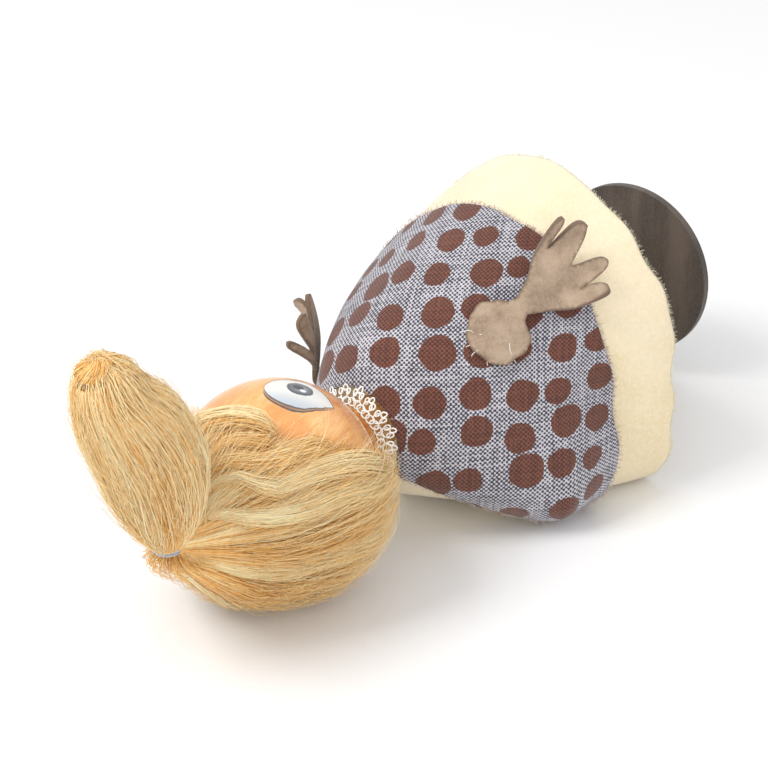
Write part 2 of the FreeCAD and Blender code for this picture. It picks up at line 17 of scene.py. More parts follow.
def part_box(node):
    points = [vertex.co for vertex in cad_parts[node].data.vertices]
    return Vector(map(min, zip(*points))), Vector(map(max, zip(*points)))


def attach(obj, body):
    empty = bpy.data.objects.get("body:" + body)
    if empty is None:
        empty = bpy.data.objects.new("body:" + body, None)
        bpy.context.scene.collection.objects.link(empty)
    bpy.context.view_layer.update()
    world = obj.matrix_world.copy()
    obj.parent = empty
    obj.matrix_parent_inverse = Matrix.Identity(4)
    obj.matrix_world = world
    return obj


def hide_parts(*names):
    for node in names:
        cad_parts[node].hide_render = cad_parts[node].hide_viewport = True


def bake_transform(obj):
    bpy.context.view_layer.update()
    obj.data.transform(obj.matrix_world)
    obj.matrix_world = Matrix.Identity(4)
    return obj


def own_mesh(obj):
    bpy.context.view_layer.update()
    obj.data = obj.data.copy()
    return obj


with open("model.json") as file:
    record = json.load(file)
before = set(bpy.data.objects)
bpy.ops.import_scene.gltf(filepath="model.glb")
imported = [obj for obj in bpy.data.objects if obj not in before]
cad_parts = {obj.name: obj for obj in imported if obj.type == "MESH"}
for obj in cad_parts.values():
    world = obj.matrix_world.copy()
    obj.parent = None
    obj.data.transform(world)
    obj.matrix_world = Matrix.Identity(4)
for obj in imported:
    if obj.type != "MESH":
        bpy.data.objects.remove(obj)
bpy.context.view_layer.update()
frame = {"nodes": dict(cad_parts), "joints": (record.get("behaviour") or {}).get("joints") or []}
LOG = logging.getLogger("puppet")
MM = 0.001
Socket = bpy.types.NodeSocket
Array = np.ndarray


def srgb(red: int, green: int, blue: int) -> tuple[float, float, float, float]:
    """A display colour of 0 to 255 as a linear colour."""
    parts = [value / 255 for value in (red, green, blue)]
    linear = [v / 12.92 if v <= 0.04045 else ((v + 0.055) / 1.055) ** 2.4 for v in parts]
    return (*linear, 1.0)


def smoothstep(low: float, high: float, value: Array | float) -> Array:
    """0 below low, 1 above high, and a smooth rise between."""
    share = np.clip((np.asarray(value, float) - low) / (high - low), 0.0, 1.0)
    return share * share * (3 - 2 * share)


def unit(vector: Array) -> Array:
    """The vectors of an array, each of length 1."""
    return vector / np.maximum(np.linalg.norm(vector, axis=-1, keepdims=True), 1e-9)


# ------------------------------------------------------------------ frame


@dataclass(frozen=True)
class PuppetFrame:
    """The puppet's own axes as it lies: down the body, to its left and out of its face.

    Points are given in millimetres from the stick's axis at the top of the neck ring.
    """

    origin: Vector
    down: Vector
    left: Vector
    front: Vector

    @classmethod
    def from_joints(cls, joints: Sequence[dict]) -> "PuppetFrame":
        """The frame that the head's and the jaw's joints give."""
        named = {joint["name"]: joint for joint in joints}
        down = Vector(named["head_turn"]["axis"])
        left = Vector(named["jaw_swing"]["axis"]).normalized()
        return cls(Vector(named["head_turn"]["pos_m"]), down, left, down.cross(left))

    def at(self, x: float, y: float, z: float) -> Vector:
        """A point in the puppet's axes as a point of the row frame, in metres."""
        return self.origin + (self.down * x + self.left * y + self.front * z) * MM

    def lying(self, x: float, y: float, z: float) -> Vector:
        """A point given across and up from the floor's directions, in metres."""
        return self.origin + Vector((x, y, z)) * MM

    def points(self, local: Array, rolled: bool = True) -> Array:
        """Many points at once, from millimetres to the row frame.

        Args:
            local: points in the puppet's axes, or in the floor's when rolled is False.
            rolled: whether the points turn with the face.

        Returns:
            The points in metres.
        """
        axes = np.array([self.down, self.left, self.front]) if rolled else np.eye(3)
        return np.array(self.origin) + (np.asarray(local, float) @ axes) * MM

    def round_stick(self, x: float, degrees: float, radius: float) -> Vector:
        """A point round the stick, its angle measured from the near side over the top."""
        turn = math.radians(degrees)
        return self.lying(x, -radius * math.cos(turn), radius * math.sin(turn))


PUPPET = PuppetFrame.from_joints(frame["joints"])
HEAD_LOW, HEAD_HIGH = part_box("head_front")
HEAD_RADIUS = (HEAD_HIGH.x - HEAD_LOW.x) / 2 / MM
HEAD_X = ((HEAD_HIGH.x + HEAD_LOW.x) / 2 - PUPPET.origin.x) / MM
FLOOR_Z = -PUPPET.origin.z / MM


# ------------------------------------------------------------------ shader helper


class Shader:
    """A material's node tree with short ways to add what the finishes need."""

    def __init__(self, name: str) -> None:
        """Starts an empty material of that name."""
        self.material = bpy.data.materials.new(name)
        self.material.use_nodes = True
        self.tree = self.material.node_tree
        self.tree.nodes.clear()

    def add(self, kind: str, settings: dict | None = None, **inputs: object) -> bpy.types.Node:
        """Adds a node.

        Args:
            kind: the node's type without its ShaderNode prefix.
            settings: the node's own properties.
            inputs: values or sockets by input name, underscores standing for spaces.

        Returns:
            The node.
        """
        node = self.tree.nodes.new("ShaderNode" + kind)
        for key, value in (settings or {}).items():
            setattr(node, key, value)
        for key, value in inputs.items():
            self.put(node.inputs[key.replace("_", " ")], value)
        return node

    def put(self, target: Socket, value: object) -> None:
        """Links a socket, or sets it to a plain value."""
        if isinstance(value, bpy.types.NodeSocket):
            self.tree.links.new(value, target)
        else:
            target.default_value = value

    def math(self, operation: str, first: object, second: object = 0.0) -> Socket:
        """The result of one sum on one or two values."""
        node = self.add("Math", {"operation": operation})
        self.put(node.inputs[0], first)
        self.put(node.inputs[1], second)
        return node.outputs[0]

    def dot(self, vector: Socket, axis: Sequence[float]) -> Socket:
        """How far a vector reaches along an axis."""
        node = self.add("VectorMath", {"operation": "DOT_PRODUCT"})
        self.put(node.inputs[0], vector)
        node.inputs[1].default_value = tuple(axis)
        return node.outputs["Value"]

    def mix(self, share: object, first: object, second: object) -> Socket:
        """Two colours mixed."""
        node = self.add("Mix", {"data_type": "RGBA"})
        self.put(node.inputs[0], share)
        self.put(node.inputs[6], first)
        self.put(node.inputs[7], second)
        return node.outputs[2]

    def ramp(self, share: Socket, stops: Sequence[tuple[float, Sequence[float]]]) -> Socket:
        """A colour read along a ramp of (place, colour)."""
        node = self.add("ValToRGB")
        self.put(node.inputs[0], share)
        elements = node.color_ramp.elements
        for index, (place, colour) in enumerate(stops):
            element = elements[index] if index < 2 else elements.new(place)
            element.position = place
            element.color = colour
        return node.outputs[0]

    def step(self, value: Socket, low: float, high: float) -> Socket:
        """0 at low and 1 at high, smooth between; low may be the larger."""
        node = self.add("MapRange", {"interpolation_type": "SMOOTHSTEP"})
        self.put(node.inputs["Value"], value)
        node.inputs["From Min"].default_value = min(low, high)
        node.inputs["From Max"].default_value = max(low, high)
        node.inputs["To Min"].default_value = float(low > high)
        node.inputs["To Max"].default_value = float(low <= high)
        return node.outputs["Result"]

    def noise(self, vector: Socket, scale: float, detail: float = 3.0, rough: float = 0.55,
              stretch: Sequence[float] = (1, 1, 1)) -> Socket:
        """Noise of about 0 to 1, its grain drawn out by the stretch."""
        mapped = self.add("Mapping", Vector=vector, Scale=tuple(stretch))
        node = self.add("TexNoise", Vector=mapped.outputs[0], Scale=scale, Detail=detail, Roughness=rough)
        return node.outputs["Fac"]

    def bump(self, height: Socket, strength: float, distance: float) -> Socket:
        """A bumped normal."""
        return self.add("Bump", Height=height, Strength=strength, Distance=distance).outputs[0]

    @property
    def place(self) -> Socket:
        """Object coordinates, which are the row frame's metres."""
        return self.add("TexCoord").outputs["Object"]

    def attribute(self, name: str) -> Socket:
        """A number that the mesh carries."""
        return self.add("Attribute", {"attribute_name": name}).outputs["Fac"]

    def surface(self, **inputs: object) -> bpy.types.Material:
        """Ends the tree in a principled surface with these inputs and returns the material."""
        body = self.add("BsdfPrincipled", None, **inputs)
        end = self.add("OutputMaterial")
        self.tree.links.new(body.outputs[0], end.inputs[0])
        return self.material


# ------------------------------------------------------------------ finishes


@dataclass(frozen=True)
class Wood:
    """Wood with its grain along the stick, varnished or bare."""

    name: str
    light: tuple[float, ...]
    dark: tuple[float, ...]
    gloss: float
    coat: float

    def build(self) -> bpy.types.Material:
        """Makes the material."""
        sh = Shader(self.name)
        place = sh.place
        grain = sh.noise(place, 420.0, 5.0, 0.62, (0.10, 1.0, 1.0))
        mottle = sh.noise(place, 95.0, 3.0)
        pores = sh.noise(place, 1900.0, 2.0, 0.5, (0.22, 1.0, 1.0))
        wood = sh.mix(sh.step(grain, 0.30, 0.70), self.dark, self.light)
        wood = sh.mix(sh.step(mottle, 0.35, 0.75), wood, sh.mix(0.55, wood, self.light))
        wood = sh.mix(sh.step(pores, 0.70, 0.80), wood, sh.mix(0.6, wood, self.dark))
        rough = sh.add("MapRange", Value=grain, To_Min=self.gloss, To_Max=self.gloss + 0.14)
        return sh.surface(Base_Color=wood, Roughness=rough.outputs[0], Coat_Weight=self.coat,
                          Coat_Roughness=0.18, Normal=sh.bump(grain, 0.18, 0.0003))


@dataclass(frozen=True)
class PaintedHead:
    """Varnished orange wood with two painted eyes and a little rouge.

    The eye's places are in millimetres from the head's centre: down the body, to the left, out of the face.
    """

    name: str = "painted_turned_wood"
    eye_middle: tuple[float, float, float] = (5.2, 19.6, 19.0)
    eye_tip: tuple[float, float, float] = (9.6, 24.0, 10.8)
    iris_middle: tuple[float, float, float] = (6.4, 18.8, 19.8)
    half_width: float = 9.6
    half_height: float = 7.9
    iris_radius: float = 3.7

    def build(self) -> bpy.types.Material:
        """Makes the material."""
        sh = Shader(self.name)
        place = sh.place
        centre = PUPPET.at(HEAD_X, 0, 0)
        local = sh.add("VectorMath", {"operation": "SUBTRACT"})
        sh.put(local.inputs[0], place)
        local.inputs[1].default_value = tuple(centre)
        offset = sh.add("VectorMath", {"operation": "SCALE"})
        sh.put(offset.inputs[0], local.outputs[0])
        offset.inputs["Scale"].default_value = 1 / MM
        down, side, out = (sh.dot(offset.outputs[0], axis) for axis in (PUPPET.down, PUPPET.left, PUPPET.front))
        mirrored = sh.add("CombineXYZ", X=down, Y=sh.math("ABSOLUTE", side), Z=out)
        colour, paint = self.wood(sh, place)
        colour = self.rouge(sh, colour, mirrored.outputs[0])
        colour, painted = self.eye(sh, colour, mirrored.outputs[0], place)
        rough = sh.math("ADD", sh.math("MULTIPLY", painted, 0.12), 0.24)
        return sh.surface(Base_Color=colour, Roughness=rough, Coat_Weight=0.45, Coat_Roughness=0.22,
                          Normal=sh.bump(paint, 0.15, 0.0002))

    def wood(self, sh: Shader, place: Socket) -> tuple[Socket, Socket]:
        """The stained wood under the paint: its colour, and its height."""
        grain = sh.noise(place, 260.0, 6.0, 0.65, (0.16, 1.0, 1.0))
        cloud = sh.noise(place, 70.0, 4.0, 0.6)
        fine = sh.noise(place, 1500.0, 3.0)
        base = sh.ramp(grain, [(0.28, srgb(212, 136, 68)), (0.72, srgb(248, 202, 142)), (0.5, srgb(236, 176, 108))])
        base = sh.mix(sh.step(cloud, 0.42, 0.70), base, srgb(226, 152, 84))
        base = sh.mix(sh.math("MULTIPLY", sh.step(fine, 0.56, 0.72), 0.35), base, srgb(188, 104, 52))
        speck = sh.add("TexVoronoi", Vector=place, Scale=190.0)
        size = sh.noise(place, 120.0, 1.0)
        dark = sh.math("LESS_THAN", speck.outputs["Distance"], sh.math("MULTIPLY", sh.step(size, 0.62, 0.78), 0.12))
        return sh.mix(sh.math("MULTIPLY", dark, 0.75), base, srgb(96, 52, 34)), fine

    def rouge(self, sh: Shader, colour: Socket, local: Socket) -> Socket:
        """A faint blush on each cheek."""
        cheek = unit(np.array((13.0, 20.5, 12.0)))
        near = sh.math("DIVIDE", sh.dot(local, cheek), HEAD_RADIUS)
        return sh.mix(sh.math("MULTIPLY", sh.step(near, 0.90, 1.0), 0.20), colour, srgb(226, 122, 82))

    def eye(self, sh: Shader, colour: Socket, local: Socket, place: Socket) -> tuple[Socket, Socket]:
        """Paints the eyes over the wood.

        Args:
            sh: the material being made.
            colour: the wood's colour.
            local: millimetres from the head's centre, with the left side folded on the right.
            place: row coordinates, for the brush's unevenness.

        Returns:
            The colour, and how much of it is paint.
        """
        middle = unit(np.array(self.eye_middle))
        across = unit(np.array(self.eye_tip) - middle * float(np.dot(self.eye_tip, middle)))
        high = np.cross(middle, across)
        if high[0] > 0:
            high = -high
        wobble = sh.math("MULTIPLY", sh.math("SUBTRACT", sh.noise(place, 320.0, 2.0), 0.5), 0.9)
        along = sh.math("ADD", sh.dot(local, across), wobble)
        up = sh.math("ADD", sh.dot(local, high), wobble)
        facing = sh.math("GREATER_THAN", sh.dot(local, middle), HEAD_RADIUS * 0.62)
        inner = self.lid_edge(sh, along, up)
        iris_along = float(np.dot(self.iris_middle, across))
        iris_up = float(np.dot(self.iris_middle, high))
        iris = self.ring(sh, along, up, iris_along, iris_up)
        white = sh.mix(sh.step(up, 0.0, self.half_height), srgb(228, 226, 220), srgb(182, 190, 200))
        smudge = sh.noise(place, 700.0, 3.0)
        white = sh.mix(sh.math("MULTIPLY", sh.step(smudge, 0.55, 0.75), 0.25), white, srgb(196, 188, 176))
        lid = sh.step(up, -1.0, 5.5)
        line = sh.mix(smudge, srgb(44, 42, 48), srgb(92, 88, 92))
        fill = sh.math("MULTIPLY", sh.math("MULTIPLY", sh.step(inner, 0.17, 0.13), lid), 0.62)
        skin = sh.mix(fill, colour, line)
        rim = self.stroke(sh, sh.math("SUBTRACT", inner, 0.15), 0.05)
        skin = sh.mix(sh.math("MULTIPLY", rim, lid), skin, line)
        inside = sh.step(inner, 0.015, -0.015)
        skin = sh.mix(inside, skin, white)
        grey = sh.ramp(iris, [(0.0, srgb(196, 202, 208)), (1.0, srgb(66, 66, 74)), (0.30, srgb(150, 156, 164)),
                              (0.58, srgb(104, 108, 116)), (0.84, srgb(80, 82, 90))])
        pupil = self.ring(sh, along, up, iris_along - 0.6, iris_up - 0.5)
        grey = sh.mix(sh.step(pupil, 0.46, 0.36), grey, srgb(40, 42, 50))
        glint = self.ring(sh, along, up, iris_along + 0.9, iris_up + 0.9)
        grey = sh.mix(sh.step(glint, 0.26, 0.20), grey, srgb(226, 230, 234))
        skin = sh.mix(sh.math("MULTIPLY", sh.step(iris, 1.02, 0.94), inside), skin, grey)
        skin = sh.mix(sh.math("MULTIPLY", self.stroke(sh, inner, 0.05), 0.9), skin, line)
        painted = sh.math("MULTIPLY", facing, sh.step(inner, 0.18, 0.12))
        return sh.mix(facing, colour, skin), painted

    def lid_edge(self, sh: Shader, along: Socket, up: Socket) -> Socket:
        """Below 0 inside an eye outline that is round at the nose and pointed at the temple."""
        full = sh.math("DIVIDE", along, self.half_width)
        t = sh.math("MINIMUM", sh.math("MAXIMUM", full, -1.0), 1.0)
        back = sh.math("SQRT", sh.math("SUBTRACT", 1.0, sh.math("MULTIPLY", t, t)))
        tip = sh.math("SUBTRACT", 1.0, sh.math("POWER", sh.math("ABSOLUTE", t), 1.7))
        edge = sh.mix(sh.math("GREATER_THAN", t, 0.0), back, tip)
        past = sh.math("SUBTRACT", sh.math("ABSOLUTE", full), sh.math("ABSOLUTE", t))
        reach = sh.math("DIVIDE", sh.math("ABSOLUTE", up), self.half_height)
        return sh.math("ADD", sh.math("SUBTRACT", reach, edge), sh.math("MULTIPLY", past, 2.5))

    def stroke(self, sh: Shader, distance: Socket, width: float) -> Socket:
        """A brush line where a distance is near 0."""
        return sh.step(sh.math("ABSOLUTE", distance), width, width * 0.45)

    def ring(self, sh: Shader, along: Socket, up: Socket, x: float, y: float) -> Socket:
        """The distance from the iris's middle, 1 at its rim."""
        dx = sh.math("SUBTRACT", along, x)
        dy = sh.math("SUBTRACT", up, y)
        square = sh.math("ADD", sh.math("MULTIPLY", dx, dx), sh.math("MULTIPLY", dy, dy))
        return sh.math("DIVIDE", sh.math("SQRT", square), self.iris_radius)


@dataclass(frozen=True)
class DottedCotton:
    """Plain-woven cotton of white and blue-grey yarn, printed with uneven brown dots."""

    name: str = "dotted_cotton_weave"
    yarn: float = 0.70
    dot_spacing: float = 13.0
    dot_radius: float = 4.9

    def build(self) -> bpy.types.Material:
        """Makes the material; its UV map is in millimetres of flat cloth."""
        sh = Shader(self.name)
        flat = sh.add("UVMap", {"uv_map": "cloth"}).outputs[0]
        bend = sh.add("TexNoise", Vector=flat, Scale=0.35, Detail=2.0)
        shift = sh.add("VectorMath", {"operation": "MULTIPLY_ADD"})
        sh.put(shift.inputs[0], bend.outputs["Color"])
        shift.inputs[1].default_value = (0.5, 0.5, 0.0)
        sh.put(shift.inputs[2], flat)
        apart = sh.add("SeparateXYZ", Vector=shift.outputs[0])
        rate = math.pi / self.yarn
        warp = sh.math("SINE", sh.math("MULTIPLY", apart.outputs[0], rate))
        weft = sh.math("SINE", sh.math("MULTIPLY", apart.outputs[1], rate))
        over = sh.math("MULTIPLY", warp, weft)
        slubs_a = sh.noise(flat, 0.9, 3.0, 0.7, (0.06, 1.6, 1.0))
        slubs_b = sh.noise(flat, 0.9, 3.0, 0.7, (1.6, 0.06, 1.0))
        slub = sh.math("SUBTRACT", sh.math("ADD", slubs_a, slubs_b), 1.0)
        pale = sh.step(sh.math("ADD", over, sh.math("MULTIPLY", slub, 2.2)), -0.35, 0.40)
        fuzz = sh.noise(flat, 5.0, 3.0, 0.7)
        dark = sh.mix(fuzz, srgb(38, 37, 48), srgb(68, 66, 80))
        white = sh.mix(fuzz, srgb(164, 161, 170), srgb(220, 217, 221))
        cloth = sh.mix(pale, dark, white)
        dots = self.dots(sh, flat)
        print_light = sh.mix(fuzz, srgb(96, 52, 38), srgb(134, 82, 64))
        print_dark = sh.mix(fuzz, srgb(58, 30, 24), srgb(84, 46, 36))
        cloth = sh.mix(dots, cloth, sh.mix(pale, print_dark, print_light))
        height = sh.math("ADD", sh.math("ABSOLUTE", over), sh.math("MULTIPLY", fuzz, 0.4))
        return sh.surface(Base_Color=cloth, Roughness=0.92, Sheen_Weight=0.25, Sheen_Roughness=0.5,
                          Normal=sh.bump(height, 0.5, 0.0002))

    def dots(self, sh: Shader, flat: Socket) -> Socket:
        """1 inside the printed dots, whose size and outline vary."""
        rough_edge = sh.add("TexNoise", Vector=flat, Scale=0.16, Detail=1.5)
        moved = sh.add("VectorMath", {"operation": "MULTIPLY_ADD"})
        sh.put(moved.inputs[0], rough_edge.outputs["Color"])
        moved.inputs[1].default_value = (2.0, 2.0, 0.0)
        sh.put(moved.inputs[2], flat)
        cells = sh.add("TexVoronoi", {"voronoi_dimensions": "2D"}, Vector=moved.outputs[0],
                       Scale=1 / self.dot_spacing, Randomness=0.36)
        size = sh.add("SeparateColor", Color=cells.outputs["Color"])
        share = self.dot_radius / self.dot_spacing
        radius = sh.math("ADD", sh.math("MULTIPLY", size.outputs[0], share * 0.34), share * 0.76)
        return sh.step(sh.math("SUBTRACT", cells.outputs["Distance"], radius), 0.012, -0.012)


@dataclass(frozen=True)
class Felt:
    """Cream wool felt, matted and a little yellow in places."""

    name: str = "cream_wool_felt"

    def build(self) -> bpy.types.Material:
        """Makes the material."""
        sh = Shader(self.name)
        place = sh.place
        clouds = sh.noise(place, 22.0, 4.0)
        mat = sh.noise(place, 900.0, 5.0, 0.7)
        fibre = sh.noise(place, 2600.0, 3.0, 0.6, (0.5, 1.0, 1.3))
        wool = sh.mix(sh.step(clouds, 0.35, 0.68), srgb(242, 225, 190), srgb(230, 209, 162))
        wool = sh.mix(sh.math("MULTIPLY", sh.step(mat, 0.40, 0.68), 0.42), wool, srgb(250, 238, 216))
        wool = sh.mix(sh.math("MULTIPLY", sh.step(fibre, 0.58, 0.74), 0.28), wool, srgb(206, 188, 138))
        height = sh.math("ADD", mat, sh.math("MULTIPLY", fibre, 0.5))
        return sh.surface(Base_Color=wool, Roughness=0.96, Sheen_Weight=0.5, Sheen_Roughness=0.6,
                          Normal=sh.bump(height, 0.7, 0.0005))


@dataclass(frozen=True)
class Leather:
    """Suede or worn leather, darker on its cut edges."""

    name: str
    light: tuple[float, ...]
    dark: tuple[float, ...]
    edge: tuple[float, ...]
    streak: tuple[float, float, float]
    rough: float

    def build(self) -> bpy.types.Material:
        """Makes the material."""
        sh = Shader(self.name)
        place = sh.place
        nap = sh.noise(place, 1300.0, 5.0, 0.7)
        patch = sh.noise(place, 160.0, 4.0, 0.6, self.streak)
        pits = sh.add("TexVoronoi", Vector=place, Scale=1500.0)
        skin = sh.mix(sh.step(patch, 0.30, 0.72), self.dark, self.light)
        skin = sh.mix(sh.math("MULTIPLY", sh.step(nap, 0.42, 0.66), 0.5), skin, self.light)
        skin = sh.mix(sh.math("MULTIPLY", sh.step(nap, 0.36, 0.26), 0.6), skin, self.edge)
        dark_edge = sh.add("Attribute", {"attribute_name": "rim"}).outputs["Fac"]
        skin = sh.mix(dark_edge, skin, self.edge)
        height = sh.math("ADD", nap, sh.math("MULTIPLY", pits.outputs["Distance"], 0.5))
        return sh.surface(Base_Color=skin, Roughness=self.rough, Sheen_Weight=0.2, Sheen_Roughness=0.5,
                          Normal=sh.bump(height, 0.55, 0.0004))


@dataclass(frozen=True)
class Fibre:
    """Flax, lace or sewing thread; each strand carries its own shade from 0 to 1, which on the flax also holds
    painted shade in the depths and painted highlight on top.
    """

    name: str
    dark: tuple[float, ...]
    middle: tuple[float, ...]
    light: tuple[float, ...]
    rough: float
    scale: float = 900.0

    def build(self) -> bpy.types.Material:
        """Makes the material."""
        sh = Shader(self.name)
        shade = sh.attribute("shade")
        uneven = sh.math("MULTIPLY", sh.math("SUBTRACT", sh.noise(sh.place, self.scale, 2.0), 0.5), 0.5)
        colour = sh.ramp(sh.math("ADD", shade, uneven), [(0.0, self.dark), (1.0, self.light), (0.5, self.middle)])
        return sh.surface(Base_Color=colour, Roughness=self.rough, Specular_IOR_Level=0.35,
                          Sheen_Weight=0.04, Sheen_Roughness=0.4)


@dataclass(frozen=True)
class Steel:
    """Bright drawn steel with light scratches."""

    name: str = "drawn_steel"

    def build(self) -> bpy.types.Material:
        """Makes the material."""
        sh = Shader(self.name)
        marks = sh.noise(sh.place, 2400.0, 3.0, 0.6, (0.2, 1.0, 1.0))
        tone = sh.mix(marks, srgb(150, 150, 152), srgb(202, 202, 204))
        rough = sh.add("MapRange", Value=marks, To_Min=0.22, To_Max=0.42)
        return sh.surface(Base_Color=tone, Metallic=1.0, Roughness=rough.outputs[0],
                          Normal=sh.bump(marks, 0.15, 0.0001))


@dataclass(frozen=True)
class PaperFloor:
    """White seamless paper."""

    name: str = "white_paper_floor"

    def build(self) -> bpy.types.Material:
        """Makes the material."""
        sh = Shader(self.name)
        tooth = sh.noise(sh.place, 700.0, 3.0)
        tone = sh.mix(tooth, (0.86, 0.86, 0.865, 1.0), (0.90, 0.90, 0.905, 1.0))
        return sh.surface(Base_Color=tone, Roughness=0.42, Normal=sh.bump(tooth, 0.03, 0.0001))


class Finish(Enum):
    """The puppet's finishes by what they are used on."""

    HEAD = PaintedHead()
    BEECH = Wood("bare_beech", srgb(222, 188, 140), srgb(178, 134, 86), 0.55, 0.0)
    VARNISHED = Wood("varnished_beech", srgb(226, 170, 104), srgb(180, 112, 56), 0.34, 0.3)
    COTTON = DottedCotton()
    FELT = Felt()
    SUEDE = Leather("tan_suede", srgb(178, 156, 134), srgb(142, 120, 100), srgb(104, 82, 64), (1, 1, 1), 0.9)
    BROWN = Leather("brown_leather", srgb(88, 76, 66), srgb(56, 47, 40), srgb(40, 32, 27), (1.0, 1.0, 0.16), 0.72)
    FLAX = Fibre("combed_flax", srgb(166, 98, 34), srgb(252, 200, 116), srgb(255, 240, 196), 0.42)
    COTTON_THREAD = Fibre("white_cotton_thread", srgb(196, 190, 180), srgb(232, 229, 222), srgb(250, 249, 246), 0.85)
    TIE_THREAD = Fibre("blue_grey_thread", srgb(116, 124, 134), srgb(158, 166, 176), srgb(200, 206, 212), 0.7)
    FRAY = Fibre("frayed_yarn", srgb(150, 84, 52), srgb(206, 186, 168), srgb(244, 240, 232), 0.85)
    WOOL = Fibre("felt_wool_hair", srgb(206, 196, 150), srgb(232, 226, 192), srgb(250, 248, 232), 0.9)
    STEEL = Steel()
    PAPER = PaperFloor()


class Finishes:
    """Makes each finish's material once."""

    def __init__(self) -> None:
        """Starts with nothing made."""
        self.made: dict[Finish, bpy.types.Material] = {}

    def get(self, finish: Finish) -> bpy.types.Material:
        """The material of a finish."""
        if finish not in self.made:
            self.made[finish] = finish.value.build()
        return self.made[finish]

    def dress(self, finish: Finish, *nodes: str) -> None:
        """Gives CAD nodes a finish."""
        for node in nodes:
            item = frame["nodes"][node]
            item.data.materials.clear()
            item.data.materials.append(self.get(finish))
            LOG.info("dressed %s with %s", node, finish.value.name)


# ------------------------------------------------------------------ mesh helpers


def add_object(name: str, mesh: bpy.types.Mesh) -> bpy.types.Object:
    """Puts a mesh in the scene as an object at the origin."""
    item = bpy.data.objects.new(name, mesh)
    bpy.context.scene.collection.objects.link(item)
    return item


def settled(item: bpy.types.Object) -> bpy.types.Object:
    """Applies an object's modifiers and leaves a plain mesh."""
    graph = bpy.context.evaluated_depsgraph_get()
    mesh = bpy.data.meshes.new_from_object(item.evaluated_get(graph), depsgraph=graph)
    item.modifiers.clear()
    old = item.data
    item.data = mesh
    bpy.data.meshes.remove(old)
    return item


def grid_mesh(name: str, points: Array, around: bool = False) -> bpy.types.Mesh:
    """A mesh over a grid of points.

    Args:
        name: the mesh's name.
        points: rows x columns x 3, in metres.
        around: whether the last column joins the first.

    Returns:
        The mesh.
    """
    rows, columns = points.shape[:2]
    index = np.arange(rows * columns).reshape(rows, columns)
    right = np.roll(index, -1, axis=1)
    quads = np.stack([index[:-1], right[:-1], right[1:], index[1:]], axis=-1)
    if not around:
        quads = quads[:, :-1]
    mesh = bpy.data.meshes.new(name)
    mesh.from_pydata(points.reshape(-1, 3).tolist(), [], quads.reshape(-1, 4).tolist())
    mesh.shade_smooth()
    return mesh


def store(mesh: bpy.types.Mesh, name: str, values: Array) -> None:
    """Keeps a number for every vertex."""
    attribute = mesh.attributes.new(name, "FLOAT", "POINT")
    attribute.data.foreach_set("value", np.asarray(values, np.float32).ravel())


def through(controls: Array, count: int) -> Array:
    """Smooth curves through control points.

    Args:
        controls: curves x controls x 3.
        count: points along each finished curve.

    Returns:
        curves x count x 3.
    """
    controls = np.asarray(controls, float)
    last = controls.shape[1] - 1
    before = 2 * controls[:, :1] - controls[:, 1:2]
    after = 2 * controls[:, -1:] - controls[:, -2:-1]
    padded = np.concatenate([before, controls, after], axis=1)
    place = np.linspace(0, last, count)
    start = np.minimum(place.astype(int), last - 1)
    t = (place - start)[None, :, None]
    a, b, c, d = (padded[:, start + step] for step in range(4))
    return 0.5 * (2 * b + (c - a) * t + (2 * a - 5 * b + 4 * c - d) * t ** 2 + (3 * b - a - 3 * c + d) * t ** 3)


